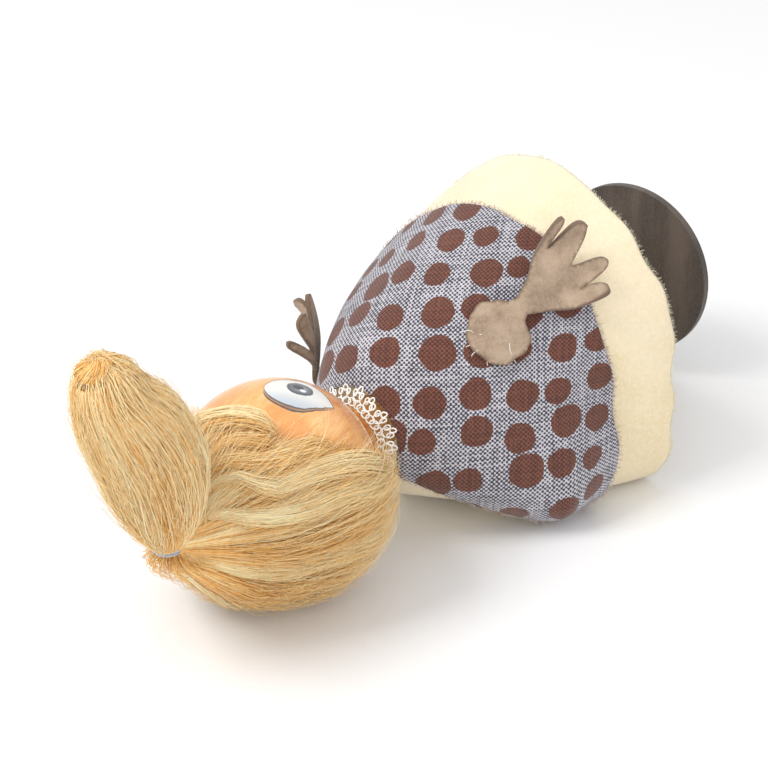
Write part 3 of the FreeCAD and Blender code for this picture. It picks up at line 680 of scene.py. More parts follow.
class ThreadMaker:
    """Geometry nodes that turn polylines into round, tapered strands."""

    FLOOR_GAP = 0.0003
    SHADE_DRIFT = 1.3
    INPUTS = (
        ("Width", "NodeSocketFloat"),
        ("Sides", "NodeSocketInt"),
        ("Wave", "NodeSocketFloat"),
        ("Wave scale", "NodeSocketFloat"),
        ("Seed", "NodeSocketFloat"),
        ("Material", "NodeSocketMaterial"),
    )

    def __init__(self, finishes: Finishes) -> None:
        """Builds the node tree once."""
        self.finishes = finishes
        self.tree = bpy.data.node_groups.new("strands", "GeometryNodeTree")
        face = self.tree.interface
        face.new_socket("Geometry", in_out="OUTPUT", socket_type="NodeSocketGeometry")
        face.new_socket("Geometry", in_out="INPUT", socket_type="NodeSocketGeometry")
        self.names = {name: face.new_socket(name, in_out="INPUT", socket_type=kind).identifier
                      for name, kind in self.INPUTS}
        self.wire()

    def node(self, kind: str, **settings: object) -> bpy.types.Node:
        """A node of the tree with its own properties set."""
        item = self.tree.nodes.new(kind)
        for key, value in settings.items():
            setattr(item, key, value)
        return item

    def wire(self) -> None:
        """Joins the nodes: wave the lines, make curves, give them a round section."""
        link = self.tree.links.new
        given = self.node("NodeGroupInput")
        noise = self.node("ShaderNodeTexNoise", noise_dimensions="4D")
        noise.inputs["Detail"].default_value = 1.0
        link(given.outputs["Wave scale"], noise.inputs["Scale"])
        own = self.node("GeometryNodeInputNamedAttribute", data_type="FLOAT")
        own.inputs["Name"].default_value = "shade"
        drift = self.node("ShaderNodeMath", operation="MULTIPLY_ADD")
        drift.inputs[1].default_value = self.SHADE_DRIFT
        link(own.outputs["Attribute"], drift.inputs[0])
        link(given.outputs["Seed"], drift.inputs[2])
        link(drift.outputs[0], noise.inputs["W"])
        centred = self.node("ShaderNodeVectorMath", operation="SUBTRACT")
        centred.inputs[1].default_value = (0.5, 0.5, 0.5)
        link(noise.outputs["Color"], centred.inputs[0])
        loose = self.node("GeometryNodeInputNamedAttribute", data_type="FLOAT")
        loose.inputs["Name"].default_value = "loose"
        size = self.node("ShaderNodeMath", operation="MULTIPLY")
        link(given.outputs["Wave"], size.inputs[0])
        link(loose.outputs["Attribute"], size.inputs[1])
        offset = self.node("ShaderNodeVectorMath", operation="SCALE")
        link(centred.outputs[0], offset.inputs[0])
        link(size.outputs[0], offset.inputs["Scale"])
        moved = self.node("GeometryNodeSetPosition")
        link(given.outputs["Geometry"], moved.inputs["Geometry"])
        link(offset.outputs[0], moved.inputs["Offset"])
        curve = self.node("GeometryNodeMeshToCurve")
        link(self.above_floor(moved), curve.inputs["Mesh"])
        section = self.node("GeometryNodeCurvePrimitiveCircle")
        link(given.outputs["Sides"], section.inputs["Resolution"])
        link(given.outputs["Width"], section.inputs["Radius"])
        taper = self.node("GeometryNodeInputNamedAttribute", data_type="FLOAT")
        taper.inputs["Name"].default_value = "taper"
        tube = self.node("GeometryNodeCurveToMesh")
        link(curve.outputs[0], tube.inputs["Curve"])
        link(section.outputs[0], tube.inputs["Profile Curve"])
        link(taper.outputs["Attribute"], tube.inputs["Scale"])
        tube.inputs["Fill Caps"].default_value = True
        smooth = self.node("GeometryNodeSetShadeSmooth")
        link(tube.outputs[0], smooth.inputs[0])
        real = self.node("GeometryNodeRealizeInstances")
        link(smooth.outputs[0], real.inputs[0])
        dressed = self.node("GeometryNodeSetMaterial")
        link(real.outputs[0], dressed.inputs["Geometry"])
        link(given.outputs["Material"], dressed.inputs["Material"])
        end = self.node("NodeGroupOutput")
        link(dressed.outputs[0], end.inputs[0])

    def above_floor(self, moved: bpy.types.Node) -> Socket:
        """Lifts any point that the wave has pushed under the floor.

        Args:
            moved: the node whose geometry has the waved points.

        Returns:
            The geometry with every point above the floor.
        """
        link = self.tree.links.new
        axes = self.node("ShaderNodeSeparateXYZ")
        link(self.node("GeometryNodeInputPosition").outputs[0], axes.inputs[0])
        height = self.node("ShaderNodeMath", operation="MAXIMUM")
        height.inputs[1].default_value = self.FLOOR_GAP
        link(axes.outputs["Z"], height.inputs[0])
        lifted = self.node("ShaderNodeCombineXYZ")
        link(axes.outputs["X"], lifted.inputs["X"])
        link(axes.outputs["Y"], lifted.inputs["Y"])
        link(height.outputs[0], lifted.inputs["Z"])
        kept = self.node("GeometryNodeSetPosition")
        link(moved.outputs[0], kept.inputs["Geometry"])
        link(lifted.outputs[0], kept.inputs["Position"])
        return kept.outputs[0]

    def make(self, name: str, strands: Array, shades: Array, finish: Finish, width: float, *,
             taper: Array | None = None, loose: Array | None = None, sides: int = 3, wave: float = 0.0,
             wave_scale: float = 40.0, seed: int = 1) -> bpy.types.Object:
        """Makes one piece of many strands.

        Args:
            name: the piece's name.
            strands: strands x points x 3, in metres.
            shades: one shade for each strand, 0 dark to 1 light.
            finish: the strands' finish.
            width: the strands' radius in millimetres.
            taper: the radius's share at each point along a strand.
            loose: how freely each point of a strand waves.
            sides: how many sides the section has.
            wave: how far a loose point may wander, in millimetres.
            wave_scale: how fine the wandering is.
            seed: the wave's seed.

        Returns:
            The object, a plain mesh.
        """
        count, length = strands.shape[:2]
        mesh = bpy.data.meshes.new(name)
        index = np.arange(count * length).reshape(count, length)
        edges = np.stack([index[:, :-1], index[:, 1:]], axis=-1).reshape(-1, 2)
        mesh.vertices.add(count * length)
        mesh.vertices.foreach_set("co", strands.astype(np.float32).ravel())
        mesh.edges.add(len(edges))
        mesh.edges.foreach_set("vertices", edges.ravel())
        spread = np.ones(length) if taper is None else taper
        ease = np.ones(length) if loose is None else loose
        store(mesh, "shade", np.repeat(shades, length))
        store(mesh, "taper", np.tile(spread, count))
        store(mesh, "loose", np.tile(ease, count))
        item = add_object(name, mesh)
        modifier = item.modifiers.new("strands", "NODES")
        modifier.node_group = self.tree
        values = {"Width": width * MM, "Sides": sides, "Wave": wave * MM, "Wave scale": wave_scale,
                  "Seed": float(seed), "Material": self.finishes.get(finish)}
        for key, value in values.items():
            modifier[self.names[key]] = value
        settled(item)
        LOG.info("%s: %d strands, %d faces", name, count, len(item.data.polygons))
        return item


class Surface:
    """A CAD node's outer skin, read by rays from outside towards the stick."""

    def __init__(self, node: str) -> None:
        """Reads the node's mesh."""
        mesh = frame["nodes"][node].data
        corners = [vertex.co for vertex in mesh.vertices]
        self.tree = BVHTree.FromPolygons(corners, [polygon.vertices[:] for polygon in mesh.polygons])

    def radius(self, x: float, degrees: float) -> float:
        """The distance of the skin from the stick's axis, in millimetres, or 0 where there is none."""
        axis = PUPPET.lying(x, 0, 0)
        outside = PUPPET.round_stick(x, degrees, 140.0)
        hit = self.tree.ray_cast(outside, (axis - outside).normalized(), 0.139)
        return (hit[0] - axis).length / MM if hit[0] is not None else 0.0

    def onto(self, point: Vector, direction: Vector) -> Vector | None:
        """Where a line through a point along a direction first meets the skin from outside."""
        hit = self.tree.ray_cast(point + direction * 0.03, -direction, 0.06)
        return hit[0]


# ------------------------------------------------------------------ studio


@dataclass(frozen=True)
class Softbox:
    """A square light: its place and side in metres, and its power in watts."""

    name: str
    place: tuple[float, float, float]
    side: float
    power: float


@dataclass
class Studio:
    """The floor, the lights and the camera."""

    finishes: Finishes
    camera_place: tuple[float, float, float] = (-0.43507, -0.33796, 0.3351)
    camera_tilt: float = 62.1
    camera_turn: float = -51.3
    lens: float = 103.1
    floor_side: float = 12.0
    air: float = 0.83
    sensor: float = 36.0
    lit_place: tuple[float, float, float] = (0.0, 0.0, 0.03)
    softboxes: tuple[Softbox, ...] = (
        Softbox("key_softbox", (-0.60, 0.30, 0.85), 0.45, 6.2),
        Softbox("fill_softbox", (-0.75, -0.85, 0.50), 1.2, 3.6),
        Softbox("top_softbox", (0.15, 0.1, 1.3), 1.5, 1.7),
    )

    def build(self) -> None:
        """Makes everything round the puppet."""
        self.floor()
        for softbox in self.softboxes:
            self.light(softbox)
        world = bpy.data.worlds.new("studio_air")
        bpy.context.scene.world = world
        world.use_nodes = True
        air = world.node_tree.nodes["Background"]
        air.inputs["Color"].default_value = (1.0, 1.0, 1.0, 1.0)
        air.inputs["Strength"].default_value = self.air
        bpy.context.scene.view_settings.view_transform = "Standard"
        self.camera()

    def floor(self) -> None:
        """A white sheet of paper, far larger than the view."""
        half = self.floor_side / 2
        steps = np.linspace(-half, half, 9)
        points = np.stack([*np.meshgrid(steps, steps), np.zeros((9, 9))], axis=-1)
        item = add_object("floor", grid_mesh("floor", points))
        item.data.materials.append(self.finishes.get(Finish.PAPER))

    def light(self, softbox: Softbox) -> None:
        """A softbox that faces the puppet."""
        lamp = bpy.data.lights.new(softbox.name, "AREA")
        lamp.shape = "SQUARE"
        lamp.size = softbox.side
        lamp.energy = softbox.power
        item = bpy.data.objects.new(softbox.name, lamp)
        bpy.context.scene.collection.objects.link(item)
        item.location = softbox.place
        toward = Vector(self.lit_place) - Vector(softbox.place)
        item.rotation_euler = toward.to_track_quat("-Z", "Y").to_euler()

    def camera(self) -> None:
        """The view from beyond the head, a little above."""
        data = bpy.data.cameras.new("view_camera")
        data.lens = self.lens
        data.sensor_width = self.sensor
        item = bpy.data.objects.new("view_camera", data)
        item.location = self.camera_place
        item.rotation_euler = (math.radians(self.camera_tilt), 0.0, math.radians(self.camera_turn))
        bpy.context.scene.collection.objects.link(item)
        bpy.context.scene.camera = item


# ------------------------------------------------------------------ hair


@dataclass(frozen=True)
class Lock:
    """A lock that lies on the hair mass, its route given as (millimetres along the stick, degrees from the face)."""

    route: tuple[tuple[float, float], ...]
    width: float
    height: float
    strands: int
    shade: float


@dataclass
class Hair:
    """Combed flax: a mass round the head, tied beyond the crown, and a topknot that stands up from the tie."""

    finishes: Finishes
    threads: ThreadMaker
    shell: float = 2.3
    tie_x: float = -79.0
    tie_radius: float = 4.6
    tie_shift: tuple[float, float] = (-4.0, 4.0)
    shoulder_share: float = 0.45
    hairline: tuple[tuple[float, float], ...] = (
        (0, -52), (40, -52), (60, -49.5), (68, -46.5), (80, -39), (90, -29), (100, -21), (112, -9), (180, -6))
    strand: float = 0.10
    steps: int = 11
    spine: tuple[tuple[float, float, float], ...] = (
        (-78, -4, 4), (-79, -4.5, 13), (-81.5, -4.5, 24), (-85, -4, 35), (-90.5, -3, 47), (-98, -1.5, 58.5))
    spindle: tuple[float, ...] = (4.0, 8.4, 11.2, 11.8, 10.6, 4.3)
    locks: tuple[Lock, ...] = (
        Lock(((-62, -20), (-57, -25), (-52, -36), (-47.5, -49), (-45.5, -58)), 8.0, 4.2, 420, 0.60),
        Lock(((-64, -44), (-58, -48), (-53, -58), (-48.5, -66)), 5.5, 2.4, 240, 0.28),
        Lock(((-68, -46), (-61, -58), (-56, -70), (-48, -76), (-41, -79), (-35.0, -85)), 5.0, 3.2, 300, 0.46),
        Lock(((-71, -56), (-63, -69), (-57.5, -86), (-46, -89), (-33, -95), (-22, -104), (-16, -114)),
             6.5, 3.2, 420, 0.62),
        Lock(((-73, -76), (-65, -97), (-52, -105), (-38, -107), (-24, -112), (-12, -121)), 7.0, 2.4, 380, 0.74),
    )

    def build(self) -> None:
        """Makes every hair piece and puts it on the head."""
        self.random = np.random.default_rng(11)
        self.cores()
        self.side_mass()
        self.front_locks()
        self.topknot()
        self.shawl()
        self.knob()
        self.tuft()
        self.strays()
        self.ties()

    def keep(self, item: bpy.types.Object, slot: str, *nodes: str) -> None:
        """Puts a piece on the head's body."""
        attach(item, "head_and_stick")
        if nodes:
            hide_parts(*nodes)

    def packed(self, name: str, rings: Array, node: str) -> None:
        """Packed hair under loose strands, as a closed skin over rings from one end to the other; its dark colour is
        painted shade between the strands.

        Args:
            name: the piece's name.
            rings: rings x points x 3, in metres.
            node: the CAD node that the piece stands for.
        """
        ends = [np.repeat(ring.mean(0)[None], rings.shape[1], axis=0)[None] for ring in (rings[0], rings[-1])]
        mesh = grid_mesh(name, np.concatenate([ends[0], rings, ends[1]]), around=True)
        build = bmesh.new()
        build.from_mesh(mesh)
        bmesh.ops.remove_doubles(build, verts=build.verts, dist=1e-6)
        bmesh.ops.recalc_face_normals(build, faces=build.faces)
        build.to_mesh(mesh)
        build.free()
        mesh.shade_smooth()
        # A shade near the flax ramp's darkest end: painted shade that shows in the gaps between the loose strands.
        store(mesh, "shade", np.full(len(mesh.vertices), 0.10))
        item = add_object(name, mesh)
        mesh.materials.append(self.finishes.get(Finish.FLAX))
        self.keep(item, "flax", node)

    def cores(self) -> None:
        """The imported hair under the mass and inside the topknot."""
        turn = np.linspace(-180, 180, 120, endpoint=False)[None, :]
        t = np.linspace(0, 1, 60)[:, None]
        ends = self.line_end(turn) - 2.5
        x = self.tie_x + (ends - self.tie_x) * t
        outer = self.on_mass(x, turn * np.ones_like(x), np.full(x.shape, -1.4))
        inner = self.on_mass(x[::-1], turn * np.ones_like(x), np.full(x.shape, -2.2))
        bare = inner[..., 0] > (PUPPET.origin.x + (HEAD_X - HEAD_RADIUS * 0.8) * MM)
        inner = inner[bare.all(axis=1)]
        self.packed("packed_hair_round_head", np.concatenate([outer, inner]), "hair_mass")
        t = np.linspace(0.01, 0.99, 40)[:, None] * np.ones((1, 60))
        angle = np.linspace(0, 2 * math.pi, 60, endpoint=False)[None, :]
        middle, radius, side, other = self.spine_frame(t)
        outward = np.cos(angle)[..., None] * side + np.sin(angle)[..., None] * other
        local = middle + (radius * 0.80)[..., None] * outward
        self.packed("packed_hair_in_topknot", PUPPET.points(local, rolled=False), "topknot")

    def mass_radius(self, x: Array) -> Array:
        """The hair's radius round the stick at a place along it."""
        ball = HEAD_RADIUS + self.shell
        shoulder = HEAD_X - HEAD_RADIUS * self.shoulder_share
        at_shoulder = math.sqrt(ball ** 2 - (shoulder - HEAD_X) ** 2)
        share = np.clip((x - self.tie_x) / (shoulder - self.tie_x), 0, 1)
        cone = self.tie_radius + (at_shoulder - self.tie_radius) * np.sin(share * math.pi / 2) ** 0.9
        sphere = np.sqrt(np.maximum(ball ** 2 - (x - HEAD_X) ** 2, 16.0))
        return np.where(x < shoulder, cone, sphere)

    def on_mass(self, x: Array, turn: Array, lift: Array) -> Array:
        """Points of the hair's surface, the turn in degrees from the face towards the puppet's left."""
        angle = np.radians(turn)
        radius = self.mass_radius(x) + lift
        local = np.stack([x, np.sin(angle) * radius, np.cos(angle) * radius], axis=-1)
        places = PUPPET.points(local)
        near_tie = 1 - smoothstep(self.tie_x, self.tie_x + 26.0, x)
        places[..., 1] += near_tie * self.tie_shift[0] * MM
        places[..., 2] += near_tie * self.tie_shift[1] * MM
        places[..., 2] = np.maximum(places[..., 2], 0.0006)
        return places

    def line_end(self, turn: Array) -> Array:
        """How far down the body hair reaches at a turn: the hairline at the face, the nape elsewhere."""
        turns, ends = zip(*self.hairline)
        return np.interp(np.abs((turn + 180.0) % 360.0 - 180.0), turns, ends)

    def side_mass(self) -> None:
        """The strands from the tie round the head, in uneven locks with grooves between them."""
        rng = self.random
        pieces = 4
        t = np.linspace(0, 1, self.steps)[None, :]
        for piece in range(pieces):
            count = 2300
            low = -180.0 + 360.0 * piece / pieces
            turn = rng.uniform(low, low + 360.0 / pieces, count)
            lock = turn / 13.0 + 0.45 * np.sin(np.radians(turn * 3)) + 0.25 * np.sin(np.radians(turn * 7 + 40))
            within = (lock % 1.0 - 0.5) * 2
            lock_rng = np.abs(np.sin(np.floor(lock) * 12.9898) * 43758.5453) % 1.0
            ridge = (0.5 + 0.9 * lock_rng) * np.sqrt(np.maximum(1 - within ** 2, 0))
            ends = self.line_end(turn) + rng.uniform(-4.0, 1.5, count)
            x = self.tie_x + (ends[:, None] - self.tie_x) * t ** 0.85
            sweep = (lock_rng - 0.5)[:, None] * 12.0 * np.sin(t * math.pi) + rng.normal(0, 4.5, (count, 1)) * t
            depth = rng.uniform(-1.6, 0.4, count) + (rng.random(count) < 0.06) * rng.uniform(0.3, 1.4, count)
            fade = np.sin(np.clip(t, 0.02, 0.98) * math.pi) ** 0.5
            lift = (depth + ridge)[:, None] * fade - 2.0 * smoothstep(0.90, 1.0, t)
            places = self.on_mass(x, turn[:, None] + sweep, lift)
            # Painted light in the strand shade: strands on a lock's ridge are lighter as painted highlight, deeper
            # ones darker as painted shade, and strands 18 to 66 degrees off the face are darkened as painted shade in
            # the hollow beside it. lock_rng and the noise are the flax's own uneven tone.
            shade = (0.50 + 0.27 * ridge + 0.20 * depth + 0.50 * (lock_rng - 0.5) + rng.normal(0, 0.16, count)
                     - 0.30 * ((np.abs(turn) > 18) & (np.abs(turn) < 66)))
            taper = np.interp(t[0], [0, 0.1, 0.85, 1.0], [0.8, 1.0, 0.9, 0.3])
            item = self.threads.make(f"flax_round_head_{piece + 1}", places, np.clip(shade, 0.02, 1), Finish.FLAX,
                                     self.strand * 1.1, taper=taper, wave=3.2, wave_scale=62.0, seed=piece,
                                     loose=np.interp(t[0], [0, 0.25, 1], [0.1, 0.9, 1.0]))
            self.keep(item, "flax")

    def front_locks(self) -> None:
        """The locks that lie over one another along the hairline, the same on both sides."""
        rng = self.random
        lines, shades = [], []
        length = 12
        t = np.linspace(0, 1, length)
        for side in (1, -1):
            for lock in self.locks:
                route = np.array([(x, turn * side, 0.0) for x, turn in lock.route])
                path = through(route[None], length)[0]
                count = lock.strands
                angle = rng.uniform(0, 2 * math.pi, count)
                reach = np.sqrt(rng.random(count))
                across, up = reach * np.cos(angle), reach * np.sin(angle)
                body = np.interp(t, [0, 0.25, 0.8, 1.0], [0.45, 1.0, 0.95, 0.55])
                turns = path[None, :, 1] + (across * lock.width)[:, None] * body + rng.normal(0, 2.5, (count, 1)) * t
                lift = 0.4 + lock.height * (0.5 + 0.5 * up)[:, None] * body * np.sqrt(np.maximum(
                    1 - across ** 2 * 0.7, 0.05))[:, None]
                lift = lift - 1.6 * smoothstep(0.8, 1.0, t)[None, :] * lock.height / 4
                places = path[None, :, 0] + rng.uniform(-2.5, 0.8, (count, 1)) * t + rng.normal(0, 0.6, (count, 1))
                lines.append(self.on_mass(places, turns, lift))
                # Strands on top of a lock are painted lighter and those at its sides darker: painted highlight and
                # painted shade. The lock's own shade and the noise are uneven tone.
                shades.append(lock.shade + 0.38 * up - 0.16 * np.abs(across) + rng.normal(0, 0.12, count))
        taper = np.interp(t, [0, 0.2, 0.8, 1.0], [0.5, 1.0, 0.9, 0.25])
        for name, part in (("right", slice(0, len(self.locks))), ("left", slice(len(self.locks), None))):
            item = self.threads.make(f"flax_front_locks_{name}", np.concatenate(lines[part]),
                                     np.clip(np.concatenate(shades[part]), 0.02, 1), Finish.FLAX, self.strand,
                                     taper=taper, wave=2.4, wave_scale=80.0, seed=8)
            self.keep(item, "flax")

    def spine_frame(self, t: Array) -> tuple[Array, Array, Array, Array]:
        """The topknot's middle line, its radius and two directions across it, in floor axes."""
        line = through(np.array(self.spine, float)[None], 101)[0]
        share = np.linspace(0, 1, 101)
        middle = np.stack([np.interp(t, share, line[:, axis]) for axis in range(3)], axis=-1)
        radius = np.interp(t, share, through(np.stack([self.spindle] * 3, axis=-1)[None], 101)[0][:, 0])
        along = unit(np.array(self.spine[-1], float) - np.array(self.spine[0], float))
        side = np.array((0.0, 1.0, 0.0))
        other = np.cross(along, side)
        return middle, radius, side, other

    def topknot(self) -> None:
        """The strands of the topknot, drawn in at both ends."""
        rng = self.random
        length = 12
        for piece in range(3):
            count = 1900
            turn = rng.uniform(0, 2 * math.pi, count)
            t = np.linspace(0, 1, length)[None, :] * np.ones((count, 1))
            lock = np.degrees(turn) / 27.0 + 0.3 * np.sin(turn * 3)
            lock_rng = np.abs(np.sin(np.floor(lock) * 78.233 + 3) * 43758.5453) % 1.0
            within = (lock % 1.0 - 0.5) * 2
            ridge = (0.4 + lock_rng) * np.sqrt(np.maximum(1 - within ** 2, 0))
            depth = rng.uniform(-2.0, 0.4, count) + (rng.random(count) < 0.06) * rng.uniform(0.3, 1.6, count)
            middle, radius, side, other = self.spine_frame(t)
            radius = radius + (depth + ridge)[:, None] * np.sin(t * math.pi) ** 0.6
            twist = (turn[:, None] + 0.45 * (lock_rng[:, None] - 0.3) * np.sin(t * math.pi)
                     + rng.normal(0, 0.09, (count, 1)) * np.sin(t * math.pi) + 0.25 * t)
            local = middle + radius[..., None] * (np.cos(twist)[..., None] * side + np.sin(twist)[..., None] * other)
            places = PUPPET.points(local, rolled=False)
            # Strands on a lock's ridge are painted lighter and deeper ones darker: painted highlight and painted
            # shade. lock_rng and the noise are uneven tone.
            shade = 0.56 + 0.26 * ridge + 0.20 * depth + 0.42 * (lock_rng - 0.5) + rng.normal(0, 0.13, count)
            item = self.threads.make(f"flax_topknot_{piece + 1}", places, np.clip(shade, 0.02, 1), Finish.FLAX,
                                     self.strand * 1.1, wave=3.8, wave_scale=58.0, seed=20 + piece,
                                     loose=np.interp(np.linspace(0, 1, length), [0, 0.2, 0.85, 1],
                                                     [0.2, 1, 0.8, 0.1]))
            self.keep(item, "flax")

    def shawl(self) -> None:
        """Strands that fold over the knob's end and lie down the topknot's head side."""
        rng = self.random
        count = 900
        tip = np.array(self.spine[-1], float)
        turn = rng.uniform(-math.pi, math.pi, count)
        turn[: count // 2] = rng.normal(-2.15, 0.8, count // 2)
        stations = np.array([0.90, 0.76, 0.58, 0.38, 0.2])[None, :] + rng.uniform(-0.05, 0.05, (count, 1))
        middle, radius, side, other = self.spine_frame(stations)
        radius = radius + rng.uniform(0.0, 1.5, (count, 1)) * np.array([1.0, 1.0, 1.0, 0.8, 0.0])
        twist = turn[:, None] + rng.normal(0, 0.12, (count, 1)) * np.linspace(0, 1, 5)[None, :]
        outward = np.cos(twist)[..., None] * side + np.sin(twist)[..., None] * other
        body = middle + radius[..., None] * outward
        top = tip + (0.8, -0.6, 5.0) + rng.normal(0, 0.8, (count, 3))
        over = 0.5 * (top + body[:, 0]) + outward[:, 0] * 1.6 + (0.0, 0.0, 1.4)
        lines = through(np.concatenate([top[:, None], over[:, None], body], axis=1), 15)
        # Strands that lie further out are painted a little lighter: painted highlight. The noise is uneven tone.
        shade = 0.62 + 0.10 * radius[:, 1] / 10 + rng.normal(0, 0.15, count)
        item = self.threads.make("flax_over_knob", PUPPET.points(lines, rolled=False), np.clip(shade, 0.02, 1),
                                 Finish.FLAX, self.strand, taper=np.interp(np.linspace(0, 1, 15), [0, 0.1, 0.8, 1],
                                                                           [0.4, 1, 0.9, 0.2]),
                                 wave=4.0, wave_scale=70.0, seed=27)
        self.keep(item, "flax")

    def knob(self) -> None:
        """The topknot's end beyond its tie, folded back on itself."""
        rng = self.random
        tip = np.array(self.spine[-1], float)
        _, _, side, other = self.spine_frame(np.array([1.0]))
        along = unit(np.array((0.12, -0.1, 1.0)))
        turn = np.linspace(0, 2 * math.pi, 40, endpoint=False)[None, :]
        t = np.linspace(0.02, 0.98, 16)[:, None]
        heart = self.folded(tip, along, side, other, t * np.ones_like(turn), turn * np.ones_like(t), 0.86)
        self.packed("packed_hair_in_knob", heart, "topknot_tip")
        count = 1000
        turn = rng.uniform(0, 2 * math.pi, count)[:, None]
        t = np.linspace(0, 1, 12)[None, :] * np.ones((count, 1))
        size = rng.uniform(0.86, 1.08, count)[:, None]
        places = self.folded(tip, along, side, other, t, turn, size)
        # Strands that lie further out on the knob are painted lighter and inner ones darker: painted highlight and
        # painted shade.
        shade = 0.45 + 1.2 * (size[:, 0] - 0.95) + rng.normal(0, 0.13, count)
        item = self.threads.make("flax_knob", places, np.clip(shade, 0.02, 1), Finish.FLAX, self.strand,
                                 wave=2.4, wave_scale=150.0, seed=31)
        self.keep(item, "flax")

    def folded(self, tip: Array, along: Array, side: Array, other: Array, t: Array, turn: Array,
               size: Array | float) -> Array:
        """Points of the knob, t running from its tie over its end."""
        radius = (np.sin(t * math.pi * 0.94 + 0.12) * 3.5 + 0.9) * size
        height = (-1.2 + 6.0 * np.sin(t * math.pi / 2) ** 1.3) * size + 0.8 * np.sin(turn)
        twist = turn + 1.1 * t
        local = (tip + height[..., None] * along
                 + radius[..., None] * (np.cos(twist)[..., None] * side + np.sin(twist)[..., None] * other))
        return PUPPET.points(local, rolled=False)

    def tuft(self) -> None:
        """The short gathered ends below the crown tie."""
        rng = self.random
        count = 900
        foot = np.array(self.spine[0], float)
        turn = rng.uniform(0, 2 * math.pi, count)
        t = np.linspace(0, 1, 10)[None, :]
        radius = 2.5 + rng.uniform(1.0, 9.5, count)[:, None] * np.sin(t * math.pi * 0.6)
        fall = 9.5 * t * rng.uniform(0.5, 1.0, count)[:, None]
        local = np.stack([
            foot[0] + 1.5 + radius * np.cos(turn)[:, None] + 7.0 * t ** 2,
            foot[1] - 1.0 + radius * np.sin(turn)[:, None] * 0.9,
            foot[2] - fall,
        ], axis=-1)
        shade = 0.58 + rng.normal(0, 0.16, count)
        item = self.threads.make("flax_gathered_tuft", PUPPET.points(local, rolled=False), np.clip(shade, 0.02, 1),
                                 Finish.FLAX, self.strand, taper=np.interp(t[0], [0, 0.7, 1], [1, 0.9, 0.3]),
                                 wave=3.0, wave_scale=120.0, seed=41)
        self.keep(item, "flax")

    def strays(self) -> None:
        """Single fibres that stand off the mass, the nape and the topknot."""
        rng = self.random
        length = 10
        t = np.linspace(0, 1, length)[None, :]
        count = 1500
        turn = rng.uniform(-180, 180, count)
        ends = self.line_end(turn) + rng.uniform(-4, 7, count) * (np.abs(turn) > 95)
        starts = self.tie_x + (ends - self.tie_x) * rng.uniform(0.1, 0.6, count)
        x = starts[:, None] + (ends - starts)[:, None] * t
        lift = 1.2 + (rng.uniform(0.0, 4.0, count)[:, None]
                      * np.sin(t * math.pi * rng.uniform(0.6, 1.0, count)[:, None]))
        mass = self.on_mass(x, turn[:, None] + rng.normal(0, 10, (count, 1)) * t, lift)
        count = 900
        turn = rng.uniform(0, 2 * math.pi, count)
        begin = rng.uniform(0.02, 0.7, count)[:, None]
        along = begin + (rng.uniform(0.15, 0.5, count)[:, None]) * t
        middle, radius, side, other = self.spine_frame(np.clip(along, 0, 0.97))
        radius = radius + 0.6 + rng.uniform(0.3, 4.0, count)[:, None] * t ** 1.5
        twist = turn[:, None] + rng.normal(0, 0.35, (count, 1)) * t
        local = middle + radius[..., None] * (np.cos(twist)[..., None] * side + np.sin(twist)[..., None] * other)
        places = np.concatenate([mass, PUPPET.points(local, rolled=False)])
        item = self.threads.make("flax_stray_fibres", places, np.clip(0.75 + rng.normal(0, 0.15, len(places)), 0, 1),
                                 Finish.FLAX, 0.06, taper=np.interp(t[0], [0, 0.5, 1], [1, 0.9, 0.4]), wave=7.0,
                                 wave_scale=60.0, seed=51)
        self.keep(item, "flax")

    def ties(self) -> None:
        """Thread wound round the gathered hair and round the topknot's tip."""
        foot, tip = (np.array(self.spine[index], float) for index in (0, -1))
        head_tie = self.winding(foot, np.array((-0.1, 0.0, 1.0)), 4.7, 3, 0.4)
        item = self.threads.make("crown_tie_thread", head_tie, np.full(len(head_tie), 0.8), Finish.TIE_THREAD, 0.26,
                                 sides=6)
        self.keep(item, "tie_thread", "crown_tie")
        tip_tie = self.winding(tip, np.array((0.1, -0.1, 1.0)), 3.3, 2, 0.3)
        item = self.threads.make("tip_tie_thread", tip_tie, np.full(len(tip_tie), 0.0), Finish.TIE_THREAD, 0.18,
                                 sides=6)
        self.keep(item, "tie_thread", "tip_tie")

    def winding(self, centre: Array, axis: Array, radius: float, turns: int, pitch: float) -> Array:
        """A coil of thread of a few turns, as one strand."""
        axis = unit(np.asarray(axis, float))
        side = unit(np.cross(axis, (0.0, 1.0, 0.0)))
        other = np.cross(axis, side)
        angle = np.linspace(0, turns * 2 * math.pi, turns * 20)
        reach = radius + 0.25 * np.sin(angle * 2.3)
        coil = (centre + np.outer(angle / (2 * math.pi) * pitch - turns * pitch / 2, axis)
                + np.outer(reach * np.cos(angle), side) + np.outer(reach * np.sin(angle), other))
        return PUPPET.points(coil, rolled=False)[None]


# ------------------------------------------------------------------ costume


